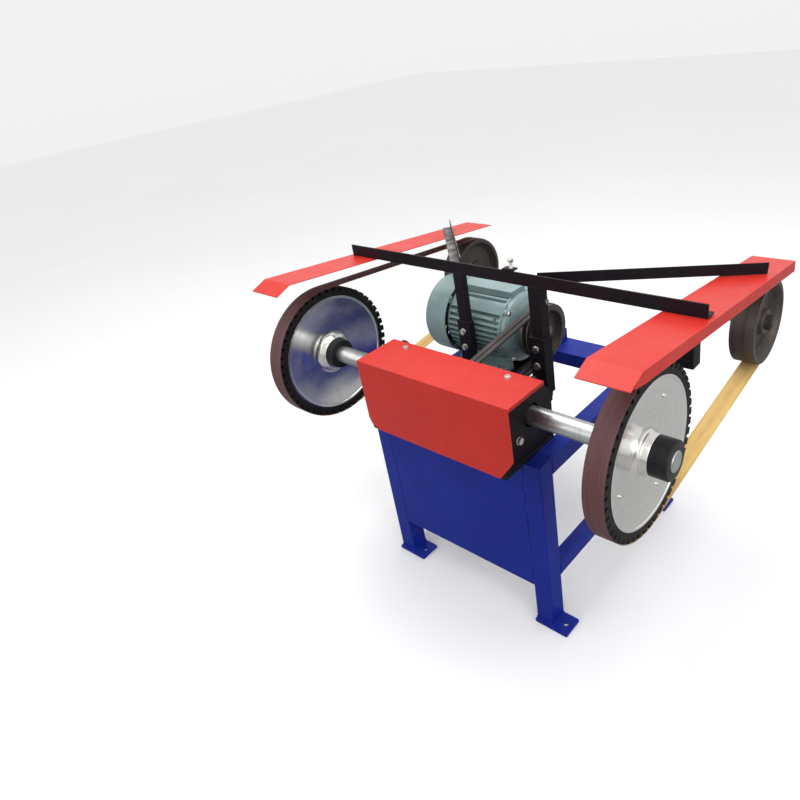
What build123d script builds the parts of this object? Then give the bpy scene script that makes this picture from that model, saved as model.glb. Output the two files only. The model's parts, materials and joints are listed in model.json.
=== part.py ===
"""Double-station abrasive belt grinder with backstand idlers.

Everything is drawn from the spindle axis: X along the spindle, Y to the rear, Z up, in mm.
The whole machine is moved once, at export, so that it stands on Z = 0 and is centred.
"""
import os
from math import asin, atan2, cos, hypot, pi, sin

from build123d import *

os.makedirs("parts", exist_ok=True)

# ---- driving sizes -------------------------------------------------------------------
SPINDLE_H = 665.0          # spindle axis above the floor
WHEEL_R = 200.0            # contact wheel over the rubber
WHEEL_W = 50.0             # contact wheel and abrasive belt width
WHEEL_X = 519.0            # centre of each contact wheel from the middle
RIM_R = 174.0              # aluminium rim, the tyre sits on it
TYRE_TEETH = 48
TYRE_SLOT_W = 10.0
TYRE_SLOT_D = 12.0
SHAFT_R = 25.0             # spindle
SHAFT_END = 600.0
IDLER_R = 120.0
IDLER_W = 66.0
IDLER_Y = 688.0
IDLER_Z = 11.0
AXLE_R = 15.0
BELT_T = 1.2               # abrasive belt
LEG = 55.0                 # square leg
LEG_XR = (221.0, 276.0)    # right legs
LEG_XL = (-319.0, -264.0)  # left legs
LEG_YF = (-45.0, 10.0)
LEG_YR = (555.0, 610.0)
FRAME_TOP = -118.0         # top of the side rails
RAIL = 50.0
LOW_RAIL = 40.0
LOW_RAIL_TOP = -470.0
FOOT_T = 8.0
FOOT_W = 104.0
FOOT_D = 66.0
FOOT_HOLE_R = 7.0
PANEL_BOTTOM = -532.0
PANEL_T = 3.0
TUBE_T = 3.0
MOTOR_Y = 326.0
MOTOR_Z = 42.0
MOTOR_H = 122.0            # shaft height of the motor
MOTOR_R = 105.0            # over the fins
COWL_R = 117.0
BODY_X = (-220.0, -28.0)   # finned motor body
COWL_X = (-310.0, -224.0)
PULLEY_X = (22.0, 72.0)
MOTOR_PULLEY_R = 80.0
SPINDLE_PULLEY_R = 84.0
COVER_X = (-230.0, 268.0)
COVER_Y = (-128.0, 12.0)
COVER_TOP = 98.0
COVER_BOTTOM = -110.0
COVER_T = 2.0
CROSSBAR_X = 571.0
CROSSBAR_Y = 201.0
ANGLE = 34.0
ANGLE_T = 4.0
GUARD_X = (467.0, 583.0)
GUARD_Y = (-116.6, 765.0)
GUARD_Z = (269.3, 167.5)
GUARD_LIP = (-163.3, 251.0)
GUARD_T = 2.5
GUARD_FLANGE = 30.0
POST_X = (95.0, -159.0)    # left edge of the right and left post
POST_W = 46.0
POST_BACK = (235.0, 217.0)  # rear edge of each post's side leg, the left one clears the motor
POST_SPLIT = 90.0          # top of the lower half
POST_TRAVEL = 25.0
# ---- clearances ----------------------------------------------------------------------
GAP = 0.3                  # between things that slide or turn past each other
BELT_GAP = 0.4             # a belt from the wheel under it
BORE_GAP = 0.05            # radial, shaft in its bearing

FLOOR = -SPINDLE_H
FOOT_TOP = FLOOR + FOOT_T
MOTOR_PLATE_TOP = MOTOR_Z - MOTOR_H
MOTOR_PLATE_T = 12.0
BEAM_TOP = MOTOR_PLATE_TOP - MOTOR_PLATE_T
BEAM = 40.0
REAR_BEAM_TOP = BEAM_TOP - BEAM
BENCH_T = 10.0
PLATE_T = 12.0
BENCH_TOP = FRAME_TOP + BENCH_T
PLATE_XR = (220.0, 220.0 + PLATE_T)
PLATE_XL = (-212.0, -212.0 + PLATE_T)
TIE_T = 5.0
PLATE_TOP = COVER_TOP - COVER_T - TIE_T
GUARD_SLOPE = (GUARD_Z[1] - GUARD_Z[0]) / (GUARD_Y[1] - GUARD_Y[0])

parts = {}


def guard_z(y):
    """Height of the guard's top face at depth y."""
    return GUARD_Z[0] + GUARD_SLOPE * (y - GUARD_Y[0])


CROSSBAR_Z = guard_z(CROSSBAR_Y)


def block(xs, ys, zs):
    """Plain bar between two corners."""
    with BuildPart() as bar:
        with Locations(((xs[0] + xs[1]) / 2, (ys[0] + ys[1]) / 2, (zs[0] + zs[1]) / 2)):
            Box(xs[1] - xs[0], ys[1] - ys[0], zs[1] - zs[0])
    return bar.part


def closed_tube(xs, ys, zs, t=TUBE_T, r=3.0):
    """Square tube with welded-shut ends; its long edges are rounded."""
    size = (xs[1] - xs[0], ys[1] - ys[0], zs[1] - zs[0])
    run = (Axis.X, Axis.Y, Axis.Z)[size.index(max(size))]
    with BuildPart() as tube:
        with Locations(((xs[0] + xs[1]) / 2, (ys[0] + ys[1]) / 2, (zs[0] + zs[1]) / 2)):
            Box(*size)
            fillet(tube.edges().filter_by(run), r)
            Box(*(s - 2 * t for s in size), mode=Mode.SUBTRACT)
    return tube.part


def ring(x0, x1, outer, inner, y=0.0, z=0.0, chamfer_by=0.0):
    """Turned ring about the X direction."""
    with BuildPart() as turned:
        with BuildSketch(Plane.YZ.offset(x0)):
            with Locations((y, z)):
                Circle(outer)
                if inner:
                    Circle(inner, mode=Mode.SUBTRACT)
        extrude(amount=x1 - x0)
        if chamfer_by:
            chamfer(turned.edges().filter_by(GeomType.CIRCLE).filter_by(
                lambda e: abs(e.radius - outer) < 0.01), chamfer_by)
    return turned.part


def turned(profile, y=0.0, z=0.0, side=1):
    """Solid of revolution about X; profile is (x, radius) points of the half section."""
    with BuildPart() as body:
        with BuildSketch(Plane.XY):
            with BuildLine():
                Polyline(*[(side * x, r) for x, r in profile], close=True)
            make_face()
        revolve(axis=Axis.X)
    return body.part.moved(Location((0, y, z)))


def loop_outline(c0, r0, c1, r1):
    """Tangent points and far points of an open belt around two pulleys (y, z)."""
    dy, dz = c1[0] - c0[0], c1[1] - c0[1]
    a = atan2(dz, dy)
    b = asin((r0 - r1) / hypot(dy, dz))

    def on(c, r, t):
        return (c[0] + r * cos(t), c[1] + r * sin(t))

    up, low = a + pi / 2 - b, a - pi / 2 + b
    return (on(c0, r0, up), on(c0, r0, a + pi), on(c0, r0, low),
            on(c1, r1, low), on(c1, r1, a), on(c1, r1, up))


def loop_wire(c0, r0, c1, r1):
    p = loop_outline(c0, r0, c1, r1)
    ThreePointArc(p[0], p[1], p[2])
    Line(p[2], p[3])
    ThreePointArc(p[3], p[4], p[5])
    Line(p[5], p[0])


def flat_belt(x0, x1, c0, r0, c1, r1, t):
    """Flat endless belt."""
    with BuildPart() as belt:
        with BuildSketch(Plane.YZ.offset(x0)):
            with BuildLine():
                loop_wire(c0, r0 + t, c1, r1 + t)
            make_face()
            with BuildLine():
                loop_wire(c0, r0, c1, r1)
            make_face(mode=Mode.SUBTRACT)
        extrude(amount=x1 - x0)
    return belt.part


def hex_bolt(at, direction, r, length, head=None, head_t=None):
    """Hexagon bolt: 'at' is under the head, 'direction' points along the shank."""
    head = head or r * 1.9
    head_t = head_t or r * 1.3
    under = Plane(origin=at, z_dir=direction)
    with BuildPart() as bolt:
        with BuildSketch(under):
            RegularPolygon(head, 6)
        extrude(amount=-head_t)
        with BuildSketch(under):
            Circle(r)
        extrude(amount=length)
    return bolt.part


# ---- frame ---------------------------------------------------------------------------
FEET = {"front_right": (LEG_XR, LEG_YF), "front_left": (LEG_XL, LEG_YF),
        "rear_right": (LEG_XR, LEG_YR), "rear_left": (LEG_XL, LEG_YR)}
feet = []
for corner, (xs, ys) in FEET.items():
    parts[f"leg_{corner}"] = closed_tube(xs, ys, (FOOT_TOP, FRAME_TOP), r=4.0)
    foot_y = (ys[0] - 10.0, ys[0] - 10.0 + FOOT_D)
    with BuildPart() as foot:
        with BuildSketch(Plane.XY.offset(FLOOR)):
            with Locations((xs[0] + FOOT_W / 2 - 1, sum(foot_y) / 2)):
                Rectangle(FOOT_W, FOOT_D)
            with Locations((xs[1] + 26.0, sum(foot_y) / 2)):
                Circle(FOOT_HOLE_R, mode=Mode.SUBTRACT)
        extrude(amount=FOOT_T)
        chamfer(foot.edges().filter_by(Axis.Z).filter_by(
            lambda e: e.length > FOOT_T - 0.1 and e.geom_type == GeomType.LINE), 2.0)
    feet.append(foot.part)
parts["foot_plates"] = Compound(children=feet)

SIDES = {"right": (LEG_XR[1] - RAIL, LEG_XR[1]), "left": (LEG_XL[0], LEG_XL[0] + RAIL)}
LOW_SIDES = {"right": (LEG_XR[1] - LOW_RAIL, LEG_XR[1]), "left": (LEG_XL[0], LEG_XL[0] + LOW_RAIL)}
for side in ("left", "right"):
    parts[f"side_rail_{side}"] = closed_tube(
        SIDES[side], (LEG_YF[1], LEG_YR[0]), (FRAME_TOP - RAIL, FRAME_TOP))
    parts[f"low_rail_{side}"] = closed_tube(
        LOW_SIDES[side], (LEG_YF[1], LEG_YR[0]), (LOW_RAIL_TOP - LOW_RAIL, LOW_RAIL_TOP))

inner_x = (LEG_XL[1], LEG_XR[0])
parts["front_beam"] = closed_tube(
    inner_x, (LEG_YF[0] + PANEL_T, LEG_YF[0] + PANEL_T + RAIL), (FRAME_TOP - RAIL, FRAME_TOP))
bench_beam_y = (36.0, 36.0 + RAIL)
parts["bench_beam"] = closed_tube(
    (SIDES["left"][1], SIDES["right"][0]), bench_beam_y, (FRAME_TOP - RAIL, FRAME_TOP))
rear_beam_y = (LEG_YR[1] - 100.0, LEG_YR[1])
parts["rear_beam"] = closed_tube(
    inner_x, rear_beam_y, (REAR_BEAM_TOP - 45.0, REAR_BEAM_TOP))
parts["front_panel"] = block(
    inner_x, (LEG_YF[0], LEG_YF[0] + PANEL_T), (PANEL_BOTTOM, FRAME_TOP))
MOTOR_BEAMS = ((-215.0, -175.0), (-95.0, -55.0))
parts["motor_beams"] = Compound(children=[
    closed_tube(xs, (bench_beam_y[1], rear_beam_y[1] - 10.0), (REAR_BEAM_TOP, BEAM_TOP), t=2.5)
    for xs in MOTOR_BEAMS])

# ---- bench: base plate, end plates and bearings ---------------------------------------
parts["bench_plate"] = block((-230.0, PLATE_XR[1]), (-120.0, 86.0), (FRAME_TOP, BENCH_TOP))
BEARING_PCD = 110.0
THROUGH_BOLT = (-56.0, -41.0)
for side, xs in (("right", PLATE_XR), ("left", PLATE_XL)):
    with BuildPart() as end_plate:
        with BuildSketch(Plane.YZ.offset(xs[0])):
            with BuildLine():
                Polyline((-120.0, BENCH_TOP), (86.0, BENCH_TOP), (86.0, 20.0), (30.0, PLATE_TOP),
                         (-90.0, PLATE_TOP), (-120.0, PLATE_TOP - 40.0), close=True)
            make_face()
            Circle(SHAFT_R + 6.0, mode=Mode.SUBTRACT)
            with Locations(THROUGH_BOLT):
                Circle(6.0, mode=Mode.SUBTRACT)
        extrude(amount=xs[1] - xs[0])
        inner, way = (xs[0], 1) if side == "right" else (xs[1], -1)
        with BuildSketch(Plane.YZ.offset(inner)):
            with PolarLocations(BEARING_PCD / 2, 4):
                Circle(5.0, mode=Mode.ADD)
        extrude(amount=way * 9.5, mode=Mode.SUBTRACT)
    parts[f"end_plate_{side}"] = end_plate.part

BEARING_W = 34.0
bearings, bolts = [], []
for face, way in ((PLATE_XR[0], -1), (PLATE_XL[1], 1)):
    with BuildPart() as bearing:
        with BuildSketch(Plane.YZ.offset(face)):
            Rectangle(132.0, 132.0)
            fillet(vertices(), 22.0)
            with PolarLocations(BEARING_PCD / 2, 4):
                Circle(5.0, mode=Mode.SUBTRACT)
            with Locations(THROUGH_BOLT):
                Circle(6.0, mode=Mode.SUBTRACT)
        extrude(amount=way * 14.0)
        with BuildSketch(Plane.YZ.offset(face + way * 14.0)):
            Circle(44.0)
        extrude(amount=way * (BEARING_W - 14.0), taper=6)
        with BuildSketch(Plane.YZ.offset(face)):
            Circle(SHAFT_R + BORE_GAP)
        extrude(amount=way * BEARING_W, mode=Mode.SUBTRACT)
    bearings.append(bearing.part)
    bolts.append(hex_bolt(
        (face - way * PLATE_T, *THROUGH_BOLT), (way, 0, 0), 5.9, PLATE_T + 14.0, 11.0, 8.0))
    for q in range(4):
        at = (face + way * 14.0, BEARING_PCD / 2 * cos(q * pi / 2), BEARING_PCD / 2 * sin(q * pi / 2))
        bolts.append(hex_bolt(at, (-way, 0, 0), 4.9, 23.0, 9.0, 7.0))
parts["bearings"] = Compound(children=bearings)
parts["bearing_bolts"] = Compound(children=bolts)

parts["tie_bar"] = block((PLATE_XL[0], PLATE_XR[1]), (-27.0, -3.0), (PLATE_TOP, PLATE_TOP + TIE_T))

# ---- cover ----------------------------------------------------------------------------
COVER_CUT = 46.0
COVER_BOLTS = ((-157.0, -15.0), (184.0, -15.0))
with BuildPart() as cover:
    with BuildSketch(Plane.XZ.offset(-COVER_Y[0])):
        with BuildLine():
            Polyline((COVER_X[0], COVER_TOP), (COVER_X[1], COVER_TOP),
                     (COVER_X[1], COVER_BOTTOM + COVER_CUT + 18),
                     (COVER_X[1] - 12, COVER_BOTTOM + COVER_CUT),
                     (COVER_X[1] - COVER_CUT, COVER_BOTTOM), (COVER_X[0] + 34, COVER_BOTTOM),
                     (COVER_X[0] + 8, COVER_BOTTOM + 12), (COVER_X[0], COVER_BOTTOM + 32), close=True)
        make_face()
    extrude(amount=-COVER_T)
    with Locations((sum(COVER_X) / 2, sum(COVER_Y) / 2, COVER_TOP - COVER_T / 2)):
        Box(COVER_X[1] - COVER_X[0], COVER_Y[1] - COVER_Y[0], COVER_T)
    for x in (COVER_X[0] + COVER_T / 2, COVER_X[1] - COVER_T / 2):
        with Locations((x, sum(COVER_Y) / 2, COVER_TOP - 5.0)):
            Box(COVER_T, COVER_Y[1] - COVER_Y[0], 10.0)
    fillet(cover.edges().filter_by(Axis.X).filter_by(
        lambda e: e.center().Z > COVER_TOP - 0.1 and e.center().Y < COVER_Y[0] + 0.1), 1.5)
    with Locations(*[(x, y, COVER_TOP - 1) for x, y in COVER_BOLTS]):
        Hole(4.6)
parts["cover"] = cover.part
with BuildPart() as tie:
    add(parts["tie_bar"])
    with Locations(*[(x, y, PLATE_TOP) for x, y in COVER_BOLTS]):
        Hole(4.2)
parts["tie_bar"] = tie.part
parts["cover_bolts"] = Compound(children=[
    hex_bolt((x, y, COVER_TOP), (0, 0, -1), 4.0, 10.0, 8.5, 5.5) for x, y in COVER_BOLTS])

# ---- spindle --------------------------------------------------------------------------
with BuildPart() as spindle:
    with BuildSketch(Plane.YZ.offset(-SHAFT_END)):
        Circle(SHAFT_R)
    extrude(amount=2 * SHAFT_END)
    chamfer(spindle.edges().filter_by(GeomType.CIRCLE), 2.0)
parts["spindle"] = spindle.part

BELT_LANES = tuple((PULLEY_X[0] + PULLEY_X[1]) / 2 + s * 8.5 for s in (-1, 1))
VEE_TOP, VEE_BOTTOM, VEE_H = 13.0, 7.6, 8.0


def vee_pulley(r, bore, recess, y=0.0, z=0.0):
    """Two-groove pulley, dished on its outer face."""
    x0, x1 = PULLEY_X
    prof = [(x0, bore), (x0, r)]
    for lane in BELT_LANES:
        half_top = VEE_TOP / 2 - 0.1
        half_low = half_top - (VEE_H + 4.0) * (VEE_TOP - VEE_BOTTOM) / 2 / VEE_H
        prof += [(lane - half_top, r), (lane - half_low, r - VEE_H - 4.0),
                 (lane + half_low, r - VEE_H - 4.0), (lane + half_top, r)]
    prof += [(x1, r), (x1, r - 18.0), (x1 - recess, r - 21.0), (x1 - recess, bore + 14.0),
             (x1 - 6.0, bore + 13.0), (x1 - 6.0, bore)]
    return turned(prof, y, z)


parts["spindle_pulley"] = vee_pulley(SPINDLE_PULLEY_R, SHAFT_R, 18.0)

HUB_R, HUB_X = 50.0, (486.0, 555.0)
x0, x1 = WHEEL_X - WHEEL_W / 2, WHEEL_X + WHEEL_W / 2
wheel_profile = [
    (HUB_X[0], SHAFT_R), (HUB_X[0], HUB_R - 3), (HUB_X[0] + 3, HUB_R), (505.0, HUB_R + 1.0),
    (511.0, HUB_R + 8.0), (511.5, 120.0), (507.0, 150.0), (x0 + 5.0, RIM_R - 9.0), (x0, RIM_R - 8.0),
    (x0, RIM_R), (x1, RIM_R), (x1, RIM_R - 8.0), (x1 - 5.0, RIM_R - 9.0), (531.0, 150.0),
    (526.5, 120.0), (527.0, HUB_R + 8.0), (533.0, HUB_R + 1.0), (HUB_X[1] - 3, HUB_R),
    (HUB_X[1], HUB_R - 3), (HUB_X[1], SHAFT_R)]
collars = []
for side, s in (("right", 1), ("left", -1)):
    parts[f"contact_wheel_{side}"] = turned(wheel_profile, side=s)
    with BuildPart() as tyre:
        with BuildSketch(Plane.YZ.offset(s * WHEEL_X - WHEEL_W / 2)):
            Circle(WHEEL_R)
            Circle(RIM_R, mode=Mode.SUBTRACT)
            with PolarLocations(WHEEL_R - TYRE_SLOT_D / 2, TYRE_TEETH):
                Rectangle(TYRE_SLOT_D + 1.0, TYRE_SLOT_W, align=(Align.CENTER, Align.CENTER),
                          mode=Mode.SUBTRACT)
        extrude(amount=WHEEL_W)
    parts[f"tyre_{side}"] = tyre.part
    inner = sorted((s * 466.0, s * HUB_X[0]))
    outer = sorted((s * HUB_X[1], s * 597.0))
    collars.append(ring(*inner, 43.0, SHAFT_R, chamfer_by=2.0))
    collars.append(ring(*outer, 46.0, SHAFT_R, chamfer_by=2.5))
    lane = (s * WHEEL_X - WHEEL_W / 2, s * WHEEL_X + WHEEL_W / 2)
    parts[f"abrasive_belt_{side}"] = flat_belt(
        *lane, (0, 0), WHEEL_R + BELT_GAP, (IDLER_Y, IDLER_Z), IDLER_R + BELT_GAP, BELT_T)

parts["spindle_collars"] = Compound(children=collars)

# ---- motor ----------------------------------------------------------------------------
FIN_PITCH = 16.0            # fins on the sides
TOP_PITCH = 14.0            # fins above and below
FOOT_BOLTS = [(x, MOTOR_Y + s * 89.0) for x in (-186.0, -50.0) for s in (-1, 1)]
with BuildPart() as motor_body:
    with BuildSketch(Plane.YZ.offset(BODY_X[0])):
        with Locations((MOTOR_Y, MOTOR_Z)):
            Circle(MOTOR_R)
        with Locations((MOTOR_Y, MOTOR_Z + FIN_PITCH / 4)):
            with GridLocations(0, FIN_PITCH, 1, 8):
                Rectangle(2 * MOTOR_R, FIN_PITCH - 5.0, mode=Mode.SUBTRACT)
        with Locations((MOTOR_Y, MOTOR_Z)):
            with GridLocations(TOP_PITCH, 0, 8, 1):
                Rectangle(TOP_PITCH - 5.0, 2 * MOTOR_R, mode=Mode.SUBTRACT)
            Circle(MOTOR_R - 17.0)
        with Locations((MOTOR_Y, MOTOR_Z + 100.0)):
            Rectangle(64.0, 32.0)
    extrude(amount=BODY_X[1] - BODY_X[0])
    for s in (-1, 1):
        with BuildSketch(Plane.YZ.offset(BODY_X[0] + 6)):
            with BuildLine():
                Polyline(*[(MOTOR_Y + s * y, MOTOR_PLATE_TOP + z) for y, z in (
                    (100.0, 0), (100.0, 14.0), (78.0, 16.0), (64.0, 66.0), (48.0, 60.0), (48.0, 0))],
                    close=True)
            make_face()
        extrude(amount=BODY_X[1] - BODY_X[0] - 12)
    with Locations(*[(x, y, MOTOR_PLATE_TOP + 16) for x, y in FOOT_BOLTS]):
        Hole(6.2)
    with BuildSketch(Plane.YZ.offset(BODY_X[0])):
        with Locations((MOTOR_Y, MOTOR_Z)):
            Circle(16.0)
    extrude(amount=BODY_X[1] - BODY_X[0], mode=Mode.SUBTRACT)
parts["motor_body"] = motor_body.part

drive_shield = turned(
    [(-28.0, 16.0), (-28.0, MOTOR_R - 3.0), (-14.0, MOTOR_R - 3.0), (-4.0, MOTOR_R - 13.0),
     (10.0, 62.0), (13.0, 44.0), (16.0, 42.0), (16.0, 14.0 + BORE_GAP), (-20.0, 14.0 + BORE_GAP),
     (-20.0, 16.0)], MOTOR_Y, MOTOR_Z)
with BuildPart() as ears:
    with BuildSketch(Plane.YZ.offset(BODY_X[1])):
        with Locations((MOTOR_Y, MOTOR_Z)):
            with PolarLocations(MOTOR_R - 6.0, 4, start_angle=45):
                Circle(10.0)
    extrude(amount=14.0)
shield_x = BODY_X[0]
rear_shield = turned(
    [(shield_x, 10.0 + BORE_GAP), (shield_x, MOTOR_R - 5.0), (shield_x - 8.0, MOTOR_R - 5.0),
     (shield_x - 14.0, 60.0), (shield_x - 20.0, 40.0), (shield_x - 20.0, 10.0 + BORE_GAP)],
    MOTOR_Y, MOTOR_Z)
parts["motor_shields"] = Compound(children=[drive_shield + ears.part, rear_shield])
with BuildPart() as cowl:
    with BuildSketch(Plane.YZ.offset(COWL_X[0])):
        with Locations((MOTOR_Y, MOTOR_Z)):
            Circle(COWL_R)
    extrude(amount=COWL_X[1] - COWL_X[0])
    fillet(cowl.edges().filter_by(GeomType.CIRCLE).sort_by(Axis.X)[0], 16.0)
    with BuildSketch(Plane.YZ.offset(COWL_X[0] + 2.0)):
        with Locations((MOTOR_Y, MOTOR_Z)):
            Circle(COWL_R - 16.0)
    extrude(amount=15.0, mode=Mode.SUBTRACT)
    with BuildSketch(Plane.YZ.offset(COWL_X[0] + 16.0)):
        with Locations((MOTOR_Y, MOTOR_Z)):
            Circle(COWL_R - 2.0)
    extrude(amount=100.0, mode=Mode.SUBTRACT)
    with BuildSketch(Plane.YZ.offset(COWL_X[0] - 1.0)):
        with Locations((MOTOR_Y, MOTOR_Z)):
            for r in (38.0, 58.0, 78.0):
                with PolarLocations(r, int(r / 3.2)):
                    SlotOverall(14.0, 4.0)
    extrude(amount=4.0, mode=Mode.SUBTRACT)
with BuildPart() as clips:
    with BuildSketch(Plane.YZ.offset(COWL_X[1] - 4.0)):
        with Locations((MOTOR_Y, MOTOR_Z)):
            with PolarLocations((MOTOR_R - 5.0 + COWL_R - 1.0) / 2, 4, start_angle=45):
                Rectangle(COWL_R - MOTOR_R + 4.0, 18.0)
            Circle(MOTOR_R - 5.0, mode=Mode.SUBTRACT)
    extrude(amount=4.0)
parts["fan_cowl"] = cowl.part + clips.part

# terminal box on the hidden rear side, with the cable gland
with BuildPart() as terminal_box:
    with Locations((-120.0, MOTOR_Y + MOTOR_R + 24.0, MOTOR_Z + 18.0)):
        Box(96.0, 48.0, 84.0)
        fillet(terminal_box.edges().filter_by(Axis.Y), 8.0)
with BuildPart() as gland:
    with BuildSketch(Plane.XY.offset(MOTOR_Z + 18.0 - 42.0)):
        with Locations((-120.0, MOTOR_Y + MOTOR_R + 24.0)):
            RegularPolygon(15.0, 6)
            Circle(6.0, mode=Mode.SUBTRACT)
    extrude(amount=-16.0)
parts["terminal_box"] = terminal_box.part + gland.part

FAN_X = COWL_X[0] + 36.0
parts["rotor_shaft"] = turned([(FAN_X, 0), (FAN_X, 10.0), (-19.5, 10.0), (-19.5, 14.0),
                               (68.0, 14.0), (70.0, 12.0), (70.0, 0)], MOTOR_Y, MOTOR_Z)
parts["motor_pulley"] = vee_pulley(MOTOR_PULLEY_R, 14.0, 20.0, MOTOR_Y, MOTOR_Z)
with BuildPart() as fan:
    with BuildSketch(Plane.YZ.offset(FAN_X)):
        with Locations((MOTOR_Y, MOTOR_Z)):
            Circle(26.0)
            with PolarLocations(56.0, 8):
                Rectangle(70.0, 4.0)
            Circle(10.0, mode=Mode.SUBTRACT)
    extrude(amount=30.0)
parts["motor_fan"] = fan.part

with BuildPart() as motor_plate:
    add(block((BODY_X[0] + 2, -20.0), (224.0, 440.0), (BEAM_TOP, MOTOR_PLATE_TOP)))
    with Locations(*[(x, y, MOTOR_PLATE_TOP) for x, y in FOOT_BOLTS]):
        Hole(6.0)
parts["motor_plate"] = motor_plate.part
parts["motor_bolts"] = Compound(children=[
    hex_bolt((x, y, MOTOR_PLATE_TOP + 16.0), (0, 0, -1), 5.9, 26.0, 9.5, 7.5) for x, y in FOOT_BOLTS])

# ---- vee belts ------------------------------------------------------------------------
vees = []
for lane in BELT_LANES:
    with BuildPart() as vee:
        with BuildLine(Plane.YZ.offset(lane)) as path:
            loop_wire((0, 0), SPINDLE_PULLEY_R + BELT_GAP, (MOTOR_Y, MOTOR_Z), MOTOR_PULLEY_R + BELT_GAP)
        start = path.wires()[0] @ 0
        out = Vector(0, start.Y, start.Z).normalized()
        with BuildSketch(Plane(origin=start, x_dir=(1, 0, 0), z_dir=path.wires()[0] % 0)) as section:
            up = 1.0 if section.workplanes[0].y_dir.dot(out) > 0 else -1.0
            with BuildLine():
                Polyline((-VEE_TOP / 2, up), (VEE_TOP / 2, up),
                         (VEE_BOTTOM / 2, -up * (VEE_H - 1.0)), (-VEE_BOTTOM / 2, -up * (VEE_H - 1.0)),
                         close=True)
            make_face()
        sweep(path=path.wires()[0])
    vees.append(vee.part)
parts["vee_belts"] = Compound(children=vees)

# ---- guard posts ----------------------------------------------------------------------
POST_Y = CROSSBAR_Y - ANGLE_T
UPPER_Y = POST_Y + ANGLE_T + GAP
BOLT_Z = (6.0, 56.0)
BOLT_IN = 19.0              # bolts from the left edge of the post
FLANGE_BOLT = (227.0, 188.0)  # y, z of the bolt in the side leg of the right post
SLOT = (BOLT_Z[0] - POST_TRAVEL - 5.5, BOLT_Z[1] + POST_TRAVEL + 5.5)
parts["post_bar"] = (block((-160.0, 141.0), (190.0, 223.0), (BEAM_TOP, MOTOR_PLATE_TOP))
                     + block((99.0, 138.0), (10.0, 223.0), (BENCH_TOP, BEAM_TOP)))


def angle_post(x0, width, y0, back, t, zs):
    """Angle iron standing upright, one leg to the front and one going back on its right."""
    with BuildPart() as post:
        with BuildSketch(Plane.XY.offset(zs[0])):
            with BuildLine():
                Polyline((x0, y0), (x0 + width, y0), (x0 + width, back), (x0 + width - t, back),
                         (x0 + width - t, y0 + t), (x0, y0 + t), close=True)
            make_face()
        extrude(amount=zs[1] - zs[0])
        fillet(post.edges().filter_by(Axis.Z).filter_by(
            lambda e: abs(e.center().Y - y0) < 0.01 and e.center().X > x0 + 1), 2.0)
    return post.part


post_bolts = []
for side, left_edge, back in zip(("right", "left"), POST_X, POST_BACK):
    bolt_x = left_edge + BOLT_IN
    with BuildPart() as lower:
        add(angle_post(left_edge, POST_W, POST_Y, back, ANGLE_T, (MOTOR_PLATE_TOP, POST_SPLIT)))
        with BuildSketch(Plane.XZ.offset(-POST_Y)):
            with Locations(*[(bolt_x, z) for z in BOLT_Z]):
                Circle(5.1)
        extrude(amount=-ANGLE_T, mode=Mode.SUBTRACT)
    parts[f"post_lower_{side}"] = lower.part
    nested = POST_W - ANGLE_T - GAP
    with BuildPart() as upper:
        add(angle_post(left_edge + nested - 36.0, 36.0, UPPER_Y, back, ANGLE_T, (-40.0, CROSSBAR_Z)))
        with BuildSketch(Plane.XZ.offset(-UPPER_Y)):
            with Locations((bolt_x, sum(SLOT) / 2)):
                SlotOverall(SLOT[1] - SLOT[0], 11.0, rotation=90)
        extrude(amount=-ANGLE_T, mode=Mode.SUBTRACT)
        if side == "right":
            with BuildSketch(Plane.YZ.offset(left_edge + nested)):
                with Locations(FLANGE_BOLT):
                    Circle(4.1)
            extrude(amount=-ANGLE_T, mode=Mode.SUBTRACT)
            flange_bolt = hex_bolt(
                (left_edge + nested, *FLANGE_BOLT), (-1, 0, 0), 4.0, ANGLE_T, 8.0, 6.0)
    parts[f"post_upper_{side}"] = upper.part
    grip = 2 * (ANGLE_T + GAP)
    for z in BOLT_Z:
        post_bolts.append(hex_bolt((bolt_x, POST_Y, z), (0, 1, 0), 5.0, grip, 10.5, 7.0)
                          + hex_bolt((bolt_x, POST_Y + grip, z), (0, -1, 0), 5.0, grip, 10.5, 7.0))
parts["post_bolts"] = Compound(children=post_bolts)

# ---- guards, crossbar and braces ------------------------------------------------------
GUARD_BOLT_Y = CROSSBAR_Y + 20.0
GUARD_BOLT_X = sum(GUARD_X) / 2
with BuildPart() as crossbar:
    with BuildSketch(Plane.YZ.offset(-CROSSBAR_X)):
        with BuildLine():
            Polyline((CROSSBAR_Y, CROSSBAR_Z), (CROSSBAR_Y + ANGLE, CROSSBAR_Z),
                     (CROSSBAR_Y + ANGLE, CROSSBAR_Z + ANGLE_T),
                     (CROSSBAR_Y + ANGLE_T, CROSSBAR_Z + ANGLE_T),
                     (CROSSBAR_Y + ANGLE_T, CROSSBAR_Z + ANGLE), (CROSSBAR_Y, CROSSBAR_Z + ANGLE),
                     close=True)
        make_face()
    extrude(amount=2 * CROSSBAR_X)
    with Locations(*[(s * GUARD_BOLT_X, GUARD_BOLT_Y, CROSSBAR_Z + ANGLE_T) for s in (-1, 1)]):
        Hole(4.6)
parts["crossbar"] = crossbar.part
LUG_X = (24.0, 60.0)
STUD = (46.0, CROSSBAR_Y + 11.0)
LUG_TOP = CROSSBAR_Z + ANGLE + 5.0
with BuildPart() as lug:
    add(block(LUG_X, (CROSSBAR_Y, CROSSBAR_Y + 21.0), (CROSSBAR_Z + ANGLE, LUG_TOP)))
    with Locations((*STUD, LUG_TOP)):
        Hole(5.1)
parts["crossbar_lug"] = Compound(children=[
    lug.part, hex_bolt((*STUD, LUG_TOP + 17.0), (0, 0, -1), 5.0, 30.0, 8.5, 8.0)])

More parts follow.
